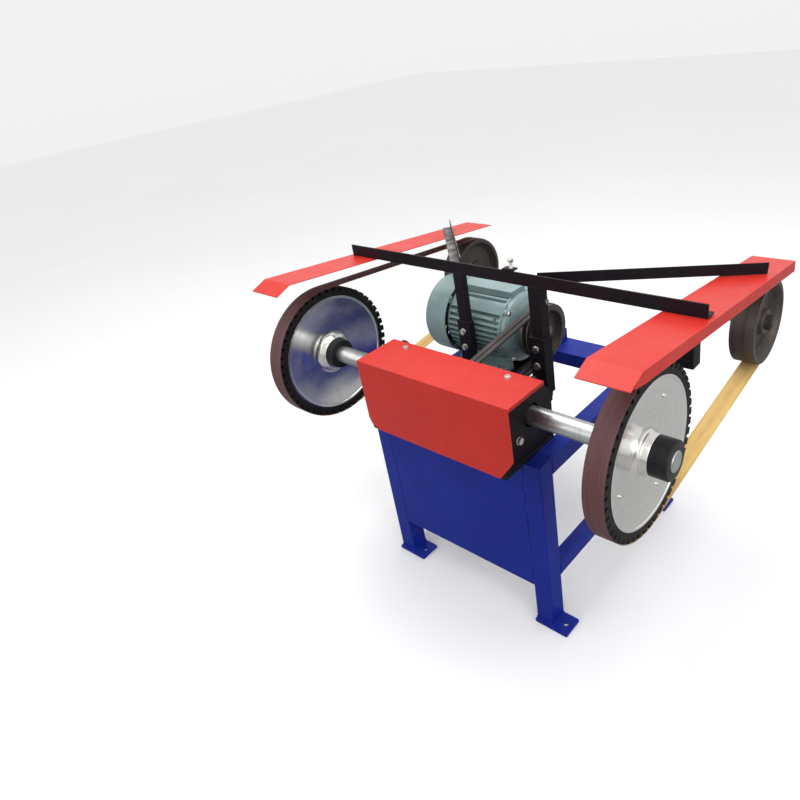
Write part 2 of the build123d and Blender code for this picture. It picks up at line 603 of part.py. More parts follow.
BRACE, BRACE_T = 30.0, 3.0
BRACES = {   # corner line from foot to tip: x, y, height over the crossbar or guard under it
    "right": ((126.0, CROSSBAR_Y + ANGLE_T + 3.5, 3.7), (562.0, 604.0, 0.2)),
    "left": ((-139.0, CROSSBAR_Y + 26.0, 4.3), (-562.0, 652.0, 2.8))}
guard_bolts = [hex_bolt((s * GUARD_BOLT_X, GUARD_BOLT_Y, CROSSBAR_Z + ANGLE_T), (0, 0, -1),
                        4.0, 14.0, 7.5, 5.5) for s in (-1, 1)]
guard_bolts.append(flange_bolt)
for side, s in (("right", 1), ("left", -1)):
    with BuildPart() as guard:
        with BuildSketch(Plane.YZ.offset(min(s * GUARD_X[0], s * GUARD_X[1]))):
            with BuildLine():
                Polyline((GUARD_Y[0], GUARD_Z[0]), (GUARD_Y[1], GUARD_Z[1]),
                         (GUARD_Y[1], GUARD_Z[1] - GUARD_T), (GUARD_Y[0], GUARD_Z[0] - GUARD_T),
                         (GUARD_LIP[0], GUARD_LIP[1] - GUARD_T), (GUARD_LIP[0], GUARD_LIP[1]), close=True)
            make_face()
        extrude(amount=GUARD_X[1] - GUARD_X[0])
        edge = s * GUARD_X[1]
        with BuildSketch(Plane.YZ.offset(min(edge, edge - s * GUARD_T))):
            with BuildLine():
                Polyline((GUARD_Y[0], GUARD_Z[0] - 0.2), (GUARD_Y[1], GUARD_Z[1] - 0.2),
                         (GUARD_Y[1], GUARD_Z[1] - GUARD_FLANGE), (GUARD_Y[0] + 6, GUARD_Z[0] - GUARD_FLANGE),
                         (GUARD_LIP[0] + 14, GUARD_LIP[1] - GUARD_T), (GUARD_LIP[0] + 14, GUARD_LIP[1]),
                         close=True)
            make_face()
        extrude(amount=GUARD_T)
        with Locations((s * GUARD_BOLT_X, GUARD_BOLT_Y, CROSSBAR_Z)):
            Hole(4.6)
    parts[f"guard_{side}"] = guard.part

    (fx, fy, fz), (tx, ty, tz) = BRACES[side]
    foot_v = Vector(fx, fy, CROSSBAR_Z + ANGLE_T + fz)
    run = Vector(tx, ty, guard_z(ty) + tz) - foot_v
    across = Vector(-run.Y, run.X, 0).normalized()
    with BuildPart() as brace:
        with BuildSketch(Plane(origin=foot_v, x_dir=across, z_dir=run)) as cut:
            lift = 1.0 if cut.workplanes[0].y_dir.Z > 0 else -1.0
            with BuildLine():
                Polyline((0, 0), (BRACE, 0), (BRACE, lift * BRACE_T), (BRACE_T, lift * BRACE_T),
                         (BRACE_T, lift * BRACE), (0, lift * BRACE), close=True)
            make_face()
        extrude(amount=run.length)
    parts[f"brace_{side}"] = brace.part
parts["guard_bolts"] = Compound(children=guard_bolts)

# ---- idlers and their sliding arms -----------------------------------------------------
ARM = 40.0
ARM_X = 370.0              # middle of each arm
OUTRIGGER = 30.0           # height of the tube that reaches out from each rear leg
SLEEVE_T = 4.0
SLEEVE_Y = (560.0, 640.0)
ARM_Y = (588.0, 712.0)
BEAR_R = AXLE_R + BORE_GAP
half = IDLER_W / 2
ix0, ix1 = WHEEL_X - half, WHEEL_X + half
idler_profile = [
    (ix0 + 8, BEAR_R), (ix0 + 8, 34.0), (510.0, 36.0), (513.0, 60.0), (512.0, 92.0), (ix0 + 3, 104.0),
    (ix0, 105.0), (ix0, IDLER_R - 2), (ix0 + 2, IDLER_R), (ix1 - 2, IDLER_R), (ix1, IDLER_R - 2),
    (ix1, 105.0), (ix1 - 3, 104.0), (526.0, 92.0), (525.0, 60.0), (528.0, 36.0), (ix1 - 6, 34.0),
    (ix1 - 6, BEAR_R)]
for side, s, leg_x in (("right", 1, LEG_XR[0]), ("left", -1, LEG_XL[1])):
    xc = s * ARM_X
    inside = ARM / 2 + GAP
    shell = inside + SLEEVE_T
    post_y = (SLEEVE_Y[0], SLEEVE_Y[0] + 50)
    outrigger = closed_tube(
        sorted((leg_x, xc + s * 25)), post_y, (FRAME_TOP, FRAME_TOP + OUTRIGGER))
    sleeve_post = closed_tube(
        (xc - 25, xc + 25), post_y, (FRAME_TOP + OUTRIGGER, IDLER_Z - shell))
    with BuildPart() as sleeve:
        with BuildSketch(Plane.XZ.offset(-SLEEVE_Y[0])):
            with Locations((xc, IDLER_Z)):
                Rectangle(2 * shell, 2 * shell)
                Rectangle(2 * inside, 2 * inside, mode=Mode.SUBTRACT)
        extrude(amount=-(SLEEVE_Y[1] - SLEEVE_Y[0]))
    parts[f"sleeve_{side}"] = Compound(children=[outrigger, sleeve_post, sleeve.part, hex_bolt(
        (xc, sum(SLEEVE_Y) / 2, IDLER_Z + shell + 10.0), (0, 0, -1), 5.0, 10.0, 9.5, 7.0)])
    with BuildPart() as arm:
        with BuildSketch(Plane.XZ.offset(-ARM_Y[0])):
            with Locations((xc, IDLER_Z)):
                Rectangle(ARM, ARM)
        extrude(amount=-(ARM_Y[1] - ARM_Y[0]))
        with BuildSketch(Plane.YZ.offset(xc - ARM)):
            with Locations((IDLER_Y, IDLER_Z)):
                Circle(AXLE_R)
        extrude(amount=2 * ARM, mode=Mode.SUBTRACT)
    a0 = abs(xc) - ARM / 2
    axle_profile = [(a0, 0), (a0, AXLE_R), (ix0 + 8 - 14, AXLE_R), (ix0 + 8 - 14, 21.0),
                    (ix0 + 8 - GAP, 21.0), (ix0 + 8 - GAP, AXLE_R), (ix1 + 10, AXLE_R), (ix1 + 12, 13.0),
                    (ix1 + 12, 0)]
    axle = turned(axle_profile, IDLER_Y, IDLER_Z, side=s)
    parts[f"idler_wheel_{side}"] = turned(idler_profile, IDLER_Y, IDLER_Z, side=s)
    nut_x = s * (ix1 - 6 + GAP)
    with BuildPart() as nut:
        with BuildSketch(Plane.YZ.offset(nut_x)):
            with Locations((IDLER_Y, IDLER_Z)):
                Circle(21.0)
                Circle(AXLE_R, mode=Mode.SUBTRACT)
        extrude(amount=s * 3.0)
        with BuildSketch(Plane.YZ.offset(nut_x + s * 3.0)):
            with Locations((IDLER_Y, IDLER_Z)):
                RegularPolygon(22.0, 6)
                Circle(AXLE_R, mode=Mode.SUBTRACT)
        extrude(amount=s * 11.0)
    parts[f"idler_arm_{side}"] = Compound(children=[arm.part, axle, nut.part])

# ---- export ---------------------------------------------------------------------------
front = -(WHEEL_R + BELT_GAP + BELT_T)
back = IDLER_Y + IDLER_R + BELT_GAP + BELT_T
home = Location((0, -(front + back) / 2, SPINDLE_H))
for name, part in parts.items():
    placed = part.moved(home)
    placed.label = name
    export_step(placed, f"parts/{name}.step")
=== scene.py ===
import json
import math
import random

import bmesh
import bpy
from mathutils import Matrix, Vector


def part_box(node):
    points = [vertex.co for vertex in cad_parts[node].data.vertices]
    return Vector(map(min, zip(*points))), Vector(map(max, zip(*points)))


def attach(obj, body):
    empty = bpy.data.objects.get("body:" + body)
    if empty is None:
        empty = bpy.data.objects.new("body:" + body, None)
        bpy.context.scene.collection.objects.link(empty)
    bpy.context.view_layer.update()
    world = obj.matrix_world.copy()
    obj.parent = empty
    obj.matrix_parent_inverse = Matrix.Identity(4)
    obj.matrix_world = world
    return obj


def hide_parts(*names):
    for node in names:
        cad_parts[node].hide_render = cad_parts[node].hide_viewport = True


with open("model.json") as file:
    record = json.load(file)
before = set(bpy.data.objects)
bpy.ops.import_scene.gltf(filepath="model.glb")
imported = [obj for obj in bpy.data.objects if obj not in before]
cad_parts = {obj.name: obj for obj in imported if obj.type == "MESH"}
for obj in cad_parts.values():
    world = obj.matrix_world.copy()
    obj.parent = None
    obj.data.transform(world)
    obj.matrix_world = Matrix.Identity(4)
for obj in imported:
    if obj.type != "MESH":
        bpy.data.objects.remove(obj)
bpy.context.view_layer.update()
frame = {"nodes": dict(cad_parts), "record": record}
nodes = frame["nodes"]
body_of_node = {n: b for b, members in frame["record"]["behaviour"]["bodies"].items() for n in members}
MM = 0.001
random.seed(7)


# ---- shader helpers -------------------------------------------------------------------
def feed(tree, target, value):
    """Links a socket, or sets a plain value, on an input."""
    if isinstance(value, bpy.types.NodeSocket):
        tree.links.new(value, target)
    else:
        target.default_value = value


def add(tree, kind, **inputs):
    node = tree.nodes.new("ShaderNode" + kind)
    for name, value in inputs.items():
        feed(tree, node.inputs[name.replace("_", " ")], value)
    return node


def calc(tree, operation, a, b=0.5, clamp=False):
    node = tree.nodes.new("ShaderNodeMath")
    node.operation, node.use_clamp = operation, clamp
    feed(tree, node.inputs[0], a)
    feed(tree, node.inputs[1], b)
    return node.outputs[0]


def spread(tree, value, low, high, to_low=0.0, to_high=1.0):
    """Maps low…high onto to_low…to_high, clamped."""
    node = add(tree, "MapRange", Value=value, From_Min=low, From_Max=high, To_Min=to_low, To_Max=to_high)
    return node.outputs[0]


def blend_colour(tree, share, a, b):
    node = tree.nodes.new("ShaderNodeMix")
    node.data_type = "RGBA"
    feed(tree, node.inputs[0], share)
    feed(tree, node.inputs[6], a if isinstance(a, bpy.types.NodeSocket) else (*a, 1.0))
    feed(tree, node.inputs[7], b if isinstance(b, bpy.types.NodeSocket) else (*b, 1.0))
    return node.outputs[2]


def noise(tree, place, scale, detail=4.0, rough=0.55):
    return add(tree, "TexNoise", Vector=place, Scale=scale, Detail=detail, Roughness=rough).outputs[0]


def stretched(tree, place, scale):
    return add(tree, "Mapping", Vector=place, Scale=scale).outputs[0]


def new_group(name, inputs, outputs):
    """Node group with float inputs (name, default) and named float outputs."""
    group = bpy.data.node_groups.new(name, "ShaderNodeTree")
    for label, default in inputs:
        socket = group.interface.new_socket(label, in_out="INPUT", socket_type="NodeSocketFloat")
        socket.default_value = default
    for label in outputs:
        group.interface.new_socket(label, in_out="OUTPUT", socket_type="NodeSocketFloat")
    return group, group.nodes.new("NodeGroupInput").outputs, group.nodes.new("NodeGroupOutput").inputs


def use(tree, group, **inputs):
    node = tree.nodes.new("ShaderNodeGroup")
    node.node_tree = group
    for name, value in inputs.items():
        feed(tree, node.inputs[name.replace("_", " ")], value)
    return node.outputs


def edge_wear_and_highlight_group():
    """Paint or polish rubbed off along outer edges, in patches; on the red sheet the same mask also paints a
    highlight along the folded edges.
    """
    g, given, out = new_group(
        "edge wear and highlight", (("Reach", 0.0015), ("Patches", 55.0), ("Amount", 0.6)), ("Mask",))
    bevel = add(g, "Bevel", Radius=given["Reach"])
    bevel.samples = 4
    dot = g.nodes.new("ShaderNodeVectorMath")
    dot.operation = "DOT_PRODUCT"
    g.links.new(bevel.outputs[0], dot.inputs[0])
    g.links.new(g.nodes.new("ShaderNodeNewGeometry").outputs["Normal"], dot.inputs[1])
    place = g.nodes.new("ShaderNodeTexCoord").outputs["Object"]
    patches = spread(g, noise(g, place, given["Patches"], 5.0, 0.7), 0.42, 0.62)
    edge = spread(g, dot.outputs["Value"], 0.985, 0.86)
    g.links.new(calc(g, "MULTIPLY", calc(g, "MULTIPLY", edge, patches), given["Amount"], True), out["Mask"])
    return g


def scratch_group():
    """Fine handling scratches in two directions."""
    g, given, out = new_group("scratches", (("Size", 1.0), ("Amount", 0.5)), ("Mask",))
    place = g.nodes.new("ShaderNodeTexCoord").outputs["Object"]
    size = add(g, "VectorMath", Vector=place)
    size.operation = "SCALE"
    feed(g, size.inputs["Scale"], given["Size"])
    masks = []
    for turn, scale in (((0.3, 0.5, 0.2), (14.0, 260.0, 260.0)), ((1.1, -0.4, 0.9), (300.0, 20.0, 300.0))):
        turned = add(g, "Mapping", Vector=size.outputs[0], Rotation=turn, Scale=scale).outputs[0]
        masks.append(spread(g, noise(g, turned, 1.0, 3.0), 0.66, 0.72))
    where = spread(g, noise(g, place, 9.0, 3.0), 0.40, 0.65)
    both = calc(g, "MULTIPLY", calc(g, "MAXIMUM", masks[0], masks[1]), where)
    g.links.new(calc(g, "MULTIPLY", both, given["Amount"], True), out["Mask"])
    return g


def cloudy_group():
    """Slow, uneven variation from handling, dust and brushwork."""
    g, given, out = new_group("cloudy", (("Scale", 12.0), ("Low", 0.35), ("High", 0.7)), ("Value",))
    place = g.nodes.new("ShaderNodeTexCoord").outputs["Object"]
    wide = noise(g, place, given["Scale"], 5.0, 0.6)
    fine = noise(g, place, calc(g, "MULTIPLY", given["Scale"], 6.0), 3.0, 0.6)
    both = calc(g, "ADD", calc(g, "MULTIPLY", wide, 0.75), calc(g, "MULTIPLY", fine, 0.25))
    g.links.new(spread(g, both, given["Low"], given["High"]), out["Value"])
    return g


def settled_dust_and_sheen_group():
    """Grinding dust on faces that look up; on the left brace the same mask also paints a sheen on them."""
    g, given, out = new_group("settled dust and sheen", (("Amount", 0.4), ("Scale", 25.0)), ("Mask",))
    coords = g.nodes.new("ShaderNodeTexCoord").outputs
    axis = add(g, "SeparateXYZ", Vector=coords["Normal"]).outputs["Z"]
    patches = spread(g, noise(g, coords["Object"], given["Scale"], 5.0, 0.65), 0.35, 0.75)
    up = spread(g, axis, 0.3, 0.95)
    g.links.new(calc(g, "MULTIPLY", calc(g, "MULTIPLY", up, patches), given["Amount"], True), out["Mask"])
    return g


def lathe_mark_group():
    """Concentric tool marks about an X axis through (Y, Z), with bands along X too."""
    g, given, out = new_group(
        "lathe marks", (("Axis Y", 0.0), ("Axis Z", 0.0), ("Rings", 900.0), ("Bands", 500.0)),
        ("Height", "Band"))
    xyz = add(g, "SeparateXYZ", Vector=g.nodes.new("ShaderNodeTexCoord").outputs["Object"]).outputs
    dy = calc(g, "SUBTRACT", xyz["Y"], given["Axis Y"])
    dz = calc(g, "SUBTRACT", xyz["Z"], given["Axis Z"])
    radius = calc(g, "SQRT", calc(g, "ADD", calc(g, "MULTIPLY", dy, dy), calc(g, "MULTIPLY", dz, dz)))
    angle = calc(g, "ARCTAN2", dz, dy)
    point = add(g, "CombineXYZ", X=calc(g, "MULTIPLY", radius, given["Rings"]),
                Y=calc(g, "MULTIPLY", xyz["X"], given["Bands"]), Z=calc(g, "MULTIPLY", angle, 0.6)).outputs[0]
    g.links.new(noise(g, point, 1.0, 3.0, 0.6), out["Height"])
    slow = add(g, "CombineXYZ", X=calc(g, "MULTIPLY", radius, 60.0),
               Y=calc(g, "MULTIPLY", xyz["X"], 45.0), Z=0.0).outputs[0]
    g.links.new(noise(g, slow, 1.0, 2.0, 0.5), out["Band"])
    return g


def cloth_group():
    """Twill weave along the belt; the mesh's own UV is in metres."""
    g, given, out = new_group("twill backing", (("Threads", 1400.0),), ("Height", "Stain"))
    uv = g.nodes.new("ShaderNodeUVMap").outputs[0]
    xyz = add(g, "SeparateXYZ", Vector=uv).outputs
    along = calc(g, "MULTIPLY", xyz["X"], given["Threads"])
    across = calc(g, "MULTIPLY", xyz["Y"], given["Threads"])
    twill = calc(g, "SINE", calc(g, "ADD", along, across))
    weft = calc(g, "SINE", calc(g, "MULTIPLY", across, 2.0))
    weave = calc(g, "ADD", calc(g, "MULTIPLY", twill, 0.35), calc(g, "MULTIPLY", weft, 0.15))
    g.links.new(weave, out["Height"])
    smear = stretched(g, uv, (9.0, 60.0, 1.0))
    spots = spread(g, noise(g, stretched(g, uv, (40.0, 70.0, 1.0)), 1.0, 6.0, 0.7), 0.60, 0.72)
    haze = spread(g, noise(g, smear, 1.0, 5.0, 0.6), 0.42, 0.78)
    edge = spread(g, calc(g, "ABSOLUTE", calc(g, "SUBTRACT", xyz["Y"], 0.025)), 0.019, 0.025)
    edge = calc(g, "MULTIPLY", edge, spread(g, noise(g, smear, 3.0, 4.0), 0.35, 0.6))
    soiled = calc(g, "MAXIMUM", calc(g, "MULTIPLY", spots, 0.8), haze)
    g.links.new(calc(g, "MAXIMUM", soiled, edge), out["Stain"])
    return g


def grit_group():
    """Packed abrasive grain with a rubbed lane and the belt's diagonal joint."""
    g, given, out = new_group("abrasive grain", (("Grain", 2600.0),), ("Height", "Rubbed", "Joint"))
    uv = g.nodes.new("ShaderNodeUVMap").outputs[0]
    xyz = add(g, "SeparateXYZ", Vector=uv).outputs
    grains = add(g, "TexVoronoi", Vector=uv, Scale=given["Grain"]).outputs["Distance"]
    g.links.new(grains, out["Height"])
    lane = noise(g, stretched(g, uv, (3.0, 120.0, 1.0)), 1.0, 4.0, 0.6)
    g.links.new(spread(g, lane, 0.38, 0.70), out["Rubbed"])
    joint = calc(g, "SUBTRACT", calc(g, "SUBTRACT", xyz["X"], calc(g, "MULTIPLY", xyz["Y"], 0.7)), 1.32)
    g.links.new(spread(g, calc(g, "ABSOLUTE", joint), 0.0011, 0.0004), out["Joint"])
    return g


EDGE_WEAR_AND_HIGHLIGHT, SCRATCHED, CLOUDY = edge_wear_and_highlight_group(), scratch_group(), cloudy_group()
DUST_AND_SHEEN, LATHED, TWILL, GRIT = settled_dust_and_sheen_group(), lathe_mark_group(), cloth_group(), grit_group()


def finish(name, colour, rough, height=None, bump=0.1, bump_reach=0.0005, **plain):
    """Principled material; colour and rough may be sockets made by maker(tree)."""
    material = bpy.data.materials.new(name)
    material.use_nodes = True
    tree = material.node_tree
    shader = tree.nodes["Principled BSDF"]
    feed(tree, shader.inputs["Base Color"], colour(tree))
    feed(tree, shader.inputs["Roughness"], rough(tree))
    for label, value in plain.items():
        feed(tree, shader.inputs[label.replace("_", " ")], value(tree) if callable(value) else value)
    if height:
        relief = add(tree, "Bump", Strength=bump, Distance=bump_reach, Height=height(tree))
        tree.links.new(relief.outputs["Normal"], shader.inputs["Normal"])
    return material


def enamel(name, base, shade, primer_and_highlight_colour, rough, wear_and_highlight, dust_and_sheen, scratch=0.25, peel=0.12, coat=0.0, gloss=0.5):
    """Brushed or sprayed paint over steel."""
    def colour(tree):
        mixed = blend_colour(tree, use(tree, CLOUDY, Scale=7.0)["Value"], base, shade)
        # Pale grey on up-facing faces: settled dust, and on the left brace also a painted sheen.
        mixed = blend_colour(tree, use(tree, DUST_AND_SHEEN, Amount=dust_and_sheen)["Mask"], mixed, (0.42, 0.38, 0.35))
        mixed = blend_colour(tree, use(tree, SCRATCHED, Size=1.0, Amount=scratch)["Mask"], mixed, primer_and_highlight_colour)
        # Outer edges take the mark colour: edge wear, and on the red sheet also a painted highlight.
        return blend_colour(tree, use(tree, EDGE_WEAR_AND_HIGHLIGHT, Reach=0.0016, Amount=wear_and_highlight)["Mask"], mixed, primer_and_highlight_colour)

    def roughness(tree):
        return spread(tree, use(tree, CLOUDY, Scale=16.0, Low=0.3, High=0.75)["Value"], 0.0, 1.0,
                      rough * 0.8, rough * 1.35)

    def skin(tree):
        place = tree.nodes.new("ShaderNodeTexCoord").outputs["Object"]
        waves = calc(tree, "MULTIPLY", noise(tree, place, 60.0), 1.5)
        return calc(tree, "ADD", noise(tree, place, 420.0, 2.0), waves)

    return finish(name, colour, roughness, skin, peel, 0.0006, Coat_Weight=coat, Coat_Roughness=0.18,
                  Specular_IOR_Level=gloss)


def turned_metal(name, base, shade, rough, rings, bands, bump, axis, stain=0.2, metal=1.0,
                 spots=(0.1, 0.08, 0.06), gloss=0.5):
    """Metal finished on the lathe about an X axis."""
    def marks(tree):
        return use(tree, LATHED, Axis_Y=axis[0], Axis_Z=axis[1], Rings=rings, Bands=bands)

    def colour(tree):
        mixed = blend_colour(tree, spread(tree, marks(tree)["Band"], 0.35, 0.7), base, shade)
        stained = calc(tree, "MULTIPLY", use(tree, CLOUDY, Scale=22.0, Low=0.52, High=0.75)["Value"], stain)
        mixed = blend_colour(tree, stained, mixed, spots)
        return blend_colour(tree, use(tree, SCRATCHED, Size=1.4, Amount=0.15)["Mask"], mixed, shade)

    def roughness(tree):
        soft = spread(tree, use(tree, CLOUDY, Scale=9.0)["Value"], 0.0, 1.0, rough * 0.7, rough * 1.5)
        return calc(tree, "ADD", soft, calc(tree, "MULTIPLY", marks(tree)["Height"], rough * 0.4))

    return finish(name, colour, roughness, lambda tree: marks(tree)["Height"], bump, 0.0004, Metallic=metal,
                  Specular_IOR_Level=gloss)


def middle(node):
    """The Y and Z of the middle of a round node, where its X axis runs."""
    low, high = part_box(node)
    return (low.y + high.y) / 2, (low.z + high.z) / 2


spindle_low, spindle_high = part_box("spindle")
spindle_axis, idler_axis = middle("spindle"), middle("idler_wheel_right")
motor_axis = middle("motor_pulley")

blue = enamel(
    "blue frame enamel", base=(0.007, 0.022, 0.28), shade=(0.006, 0.016, 0.20), primer_and_highlight_colour=(0.10, 0.14, 0.36),
    rough=0.34, wear_and_highlight=0.35, dust_and_sheen=0.03, scratch=0.12, gloss=0.14)
# The red sheet's pale pink edge colour at this high amount is a painted highlight along the rounded folds,
# together with some edge wear.
red = enamel(
    "red sheet enamel", base=(0.56, 0.021, 0.012), shade=(0.49, 0.017, 0.010), primer_and_highlight_colour=(0.90, 0.30, 0.24),
    rough=0.38, wear_and_highlight=0.60, dust_and_sheen=0.02, scratch=0.08, coat=0.06, gloss=0.28)
black_coat = {"base": (0.008, 0.006, 0.009), "shade": (0.014, 0.011, 0.015), "primer_and_highlight_colour": (0.13, 0.115, 0.12),
              "wear_and_highlight": 0.45}
black = enamel("black angle enamel", **black_coat, rough=0.40, dust_and_sheen=0.06, scratch=0.30, gloss=0.13)
# The left brace's up-facing faces turn pale grey here: settled dust together with a painted sheen.
dust_and_sheen_black = enamel("dust and sheen black enamel", **black_coat, rough=0.50, dust_and_sheen=0.75, scratch=0.40, gloss=0.30)
motor_grey = enamel(
    "motor enamel", base=(0.230, 0.330, 0.330), shade=(0.165, 0.250, 0.255), primer_and_highlight_colour=(0.38, 0.46, 0.46),
    rough=0.32, wear_and_highlight=0.55, dust_and_sheen=0.15, scratch=0.2, peel=0.2, coat=0.15)
aluminium = turned_metal(
    "polished aluminium", (0.90, 0.89, 0.87), (0.80, 0.79, 0.76), rough=0.16, rings=1500.0, bands=900.0,
    bump=0.05, axis=spindle_axis, stain=0.15, spots=(0.45, 0.42, 0.38))
shaft_steel = turned_metal(
    "turned shaft steel", (0.56, 0.57, 0.58), (0.42, 0.43, 0.43), rough=0.30, rings=900.0, bands=700.0,
    bump=0.10, axis=spindle_axis, stain=0.25)
rotor_steel = turned_metal(
    "motor shaft steel", (0.55, 0.55, 0.53), (0.38, 0.38, 0.37), rough=0.28, rings=900.0, bands=700.0,
    bump=0.10, axis=motor_axis, stain=0.25)
blackened = turned_metal(
    "blackened collar steel", (0.012, 0.012, 0.014), (0.024, 0.024, 0.027), rough=0.34, rings=700.0,
    bands=600.0, bump=0.12, axis=spindle_axis, metal=0.3, gloss=0.25)
idler_iron = turned_metal(
    "machined idler iron", (0.110, 0.094, 0.086), (0.060, 0.050, 0.046), rough=0.40, rings=700.0,
    bands=500.0, bump=0.25, axis=idler_axis, stain=0.45, metal=0.75, spots=(0.045, 0.022, 0.014))
pulley_iron = turned_metal(
    "motor pulley iron", (0.120, 0.100, 0.094), (0.070, 0.058, 0.054), rough=0.46, rings=500.0,
    bands=400.0, bump=0.22, axis=motor_axis, stain=0.4, metal=0.55, spots=(0.05, 0.028, 0.02))
zinc = turned_metal(
    "zinc plate", (0.80, 0.78, 0.72), (0.62, 0.60, 0.56), rough=0.24, rings=300.0, bands=300.0,
    bump=0.05, axis=spindle_axis, stain=0.3)


def rubber(name, base, shade, rough, bump):
    """Dull moulded rubber or plastic, paler where its edges are rubbed."""
    def colour(tree):
        mixed = blend_colour(tree, use(tree, CLOUDY, Scale=18.0, Low=0.45, High=0.8)["Value"], base, shade)
        return blend_colour(tree, use(tree, EDGE_WEAR_AND_HIGHLIGHT, Reach=0.0012, Patches=90.0, Amount=0.5)["Mask"], mixed,
                            (0.05, 0.045, 0.045))

    def skin(tree):
        return noise(tree, tree.nodes.new("ShaderNodeTexCoord").outputs["Object"], 900.0, 3.0)

    def roughness(tree):
        return spread(tree, use(tree, CLOUDY, Scale=30.0)["Value"], 0, 1, rough, rough + 0.18)

    return finish(name, colour, roughness, skin, bump, 0.0004, Specular_IOR_Level=0.2)


tyre_rubber = rubber("serrated tyre rubber", (0.006, 0.006, 0.007), (0.026, 0.017, 0.016), 0.46, 0.25)
vee_rubber = rubber("wrapped vee belt", (0.055, 0.046, 0.046), (0.095, 0.080, 0.078), 0.55, 0.35)
fan_plastic = rubber("moulded fan plastic", (0.02, 0.02, 0.02), (0.04, 0.04, 0.04), 0.4, 0.1)


def grain_colour(tree):
    grit = use(tree, GRIT)
    mixed = blend_colour(tree, grit["Rubbed"], (0.105, 0.034, 0.036), (0.140, 0.052, 0.055))
    between = spread(tree, grit["Height"], 0.25, 0.6, 0.0, 0.35)
    mixed = blend_colour(tree, between, mixed, (0.04, 0.012, 0.014))
    return blend_colour(tree, grit["Joint"], mixed, (0.035, 0.012, 0.012))


def cloth_colour(tree):
    cloth = use(tree, TWILL)
    mixed = blend_colour(tree, spread(tree, cloth["Height"], -0.4, 0.4, 0.0, 0.3), (0.78, 0.52, 0.17),
                         (0.62, 0.37, 0.10))
    return blend_colour(tree, calc(tree, "MULTIPLY", cloth["Stain"], 0.45), mixed, (0.34, 0.17, 0.05))


abrasive = finish(
    "aluminium oxide grain", grain_colour,
    lambda tree: spread(tree, use(tree, GRIT)["Rubbed"], 0, 1, 0.62, 0.48),
    lambda tree: use(tree, GRIT)["Height"], bump=0.5, bump_reach=0.0003)
backing = finish(
    "twill cloth backing", cloth_colour,
    lambda tree: spread(tree, use(tree, TWILL)["Stain"], 0, 1, 0.85, 0.6),
    lambda tree: use(tree, TWILL)["Height"], bump=0.4, bump_reach=0.0003, Sheen_Weight=0.2)


# ---- piece helpers --------------------------------------------------------------------
def even_normals(mesh, soft=50.0):
    """Keeps wide faces flat by letting the larger faces at a corner decide its normal."""
    near = [[] for _ in mesh.vertices]
    for face in mesh.polygons:
        for v in face.vertices:
            near[v].append(face.index)
    normals = [f.normal.copy() for f in mesh.polygons]
    weight = [f.area ** 2 + 1e-16 for f in mesh.polygons]
    limit = math.cos(math.radians(soft))
    out = []
    for face in mesh.polygons:
        own = normals[face.index]
        for v in face.vertices:
            total = Vector((0, 0, 0))
            for other in near[v]:
                if normals[other].dot(own) > limit:
                    total += normals[other] * weight[other]
            out.append(total.normalized() if total.length > 0 else own)
    mesh.normals_split_custom_set(out)


def make_piece(name, bm, finishes, body, stands_for=(), sharp=32.0, even=False):
    """Finishes a mesh as a piece of the object that rides on a body."""
    bmesh.ops.recalc_face_normals(bm, faces=bm.faces)
    mesh = bpy.data.meshes.new(name)
    bm.to_mesh(mesh)
    bm.free()
    mesh.shade_smooth()
    mesh.set_sharp_from_angle(angle=math.radians(sharp))
    if even:
        even_normals(mesh)
    for material in finishes if isinstance(finishes, (list, tuple)) else [finishes]:
        mesh.materials.append(material)
    piece = bpy.data.objects.new(name, mesh)
    bpy.context.scene.collection.objects.link(piece)
    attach(piece, body)
    if stands_for:
        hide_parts(*stands_for)
    return piece


def eased(node, material, width=0.8 * MM, corner=24.0):
    """The node's own shape with every sharp edge broken by a small round."""
    bm = bmesh.new()
    bm.from_mesh(nodes[node].data)
    bmesh.ops.remove_doubles(bm, verts=bm.verts, dist=2e-6)
    bmesh.ops.dissolve_limit(bm, angle_limit=math.radians(0.6), verts=bm.verts, edges=bm.edges)
    edges = [e for e in bm.edges if len(e.link_faces) == 2 and e.calc_face_angle(0) > math.radians(corner)]
    bmesh.ops.bevel(bm, geom=edges, offset=width, segments=2, profile=0.5, affect="EDGES", clamp_overlap=True)
    return make_piece(node + "_finished", bm, material, body_of_node[node], [node],
                      sharp=60.0, even=True)


def rounded(profile, radii, steps=5):
    """Closed outline with each corner eased by its own radius."""
    out = []
    for i, here in enumerate(profile):
        p, a, b = Vector(here), Vector(profile[i - 1]), Vector(profile[(i + 1) % len(profile)])
        r = radii[i] if isinstance(radii, (list, tuple)) else radii
        r = min(r, (a - p).length * 0.45, (b - p).length * 0.45)
        if r <= 0:
            out.append(p)
            continue
        start, end = p + (a - p).normalized() * r, p + (b - p).normalized() * r
        for k in range(steps + 1):
            t = k / steps
            out.append(start * (1 - t) ** 2 + p * 2 * t * (1 - t) + end * t * t)
    return out


def round_axis(axis, radius, angle):
    """The (y, z) of a point at a radius and angle about an X axis through (y, z) axis."""
    return axis[0] + radius * math.cos(angle), axis[1] + radius * math.sin(angle)


def skin_between(bm, rings):
    """Quads from each ring of points to the next one in the list."""
    count = len(rings[0])
    for a, b in zip(rings, rings[1:]):
        for k in range(count):
            bm.faces.new((a[k], a[(k + 1) % count], b[(k + 1) % count], b[k]))


def spin_into(bm, outline, axis, way=1, around=128):
    """Adds a solid of revolution about an X axis; outline is a closed list of (x, radius)."""
    rings = [[bm.verts.new((way * x, *round_axis(axis, r, 2 * math.pi * k / around))) for k in range(around)]
             for x, r in outline]
    skin_between(bm, rings + rings[:1])


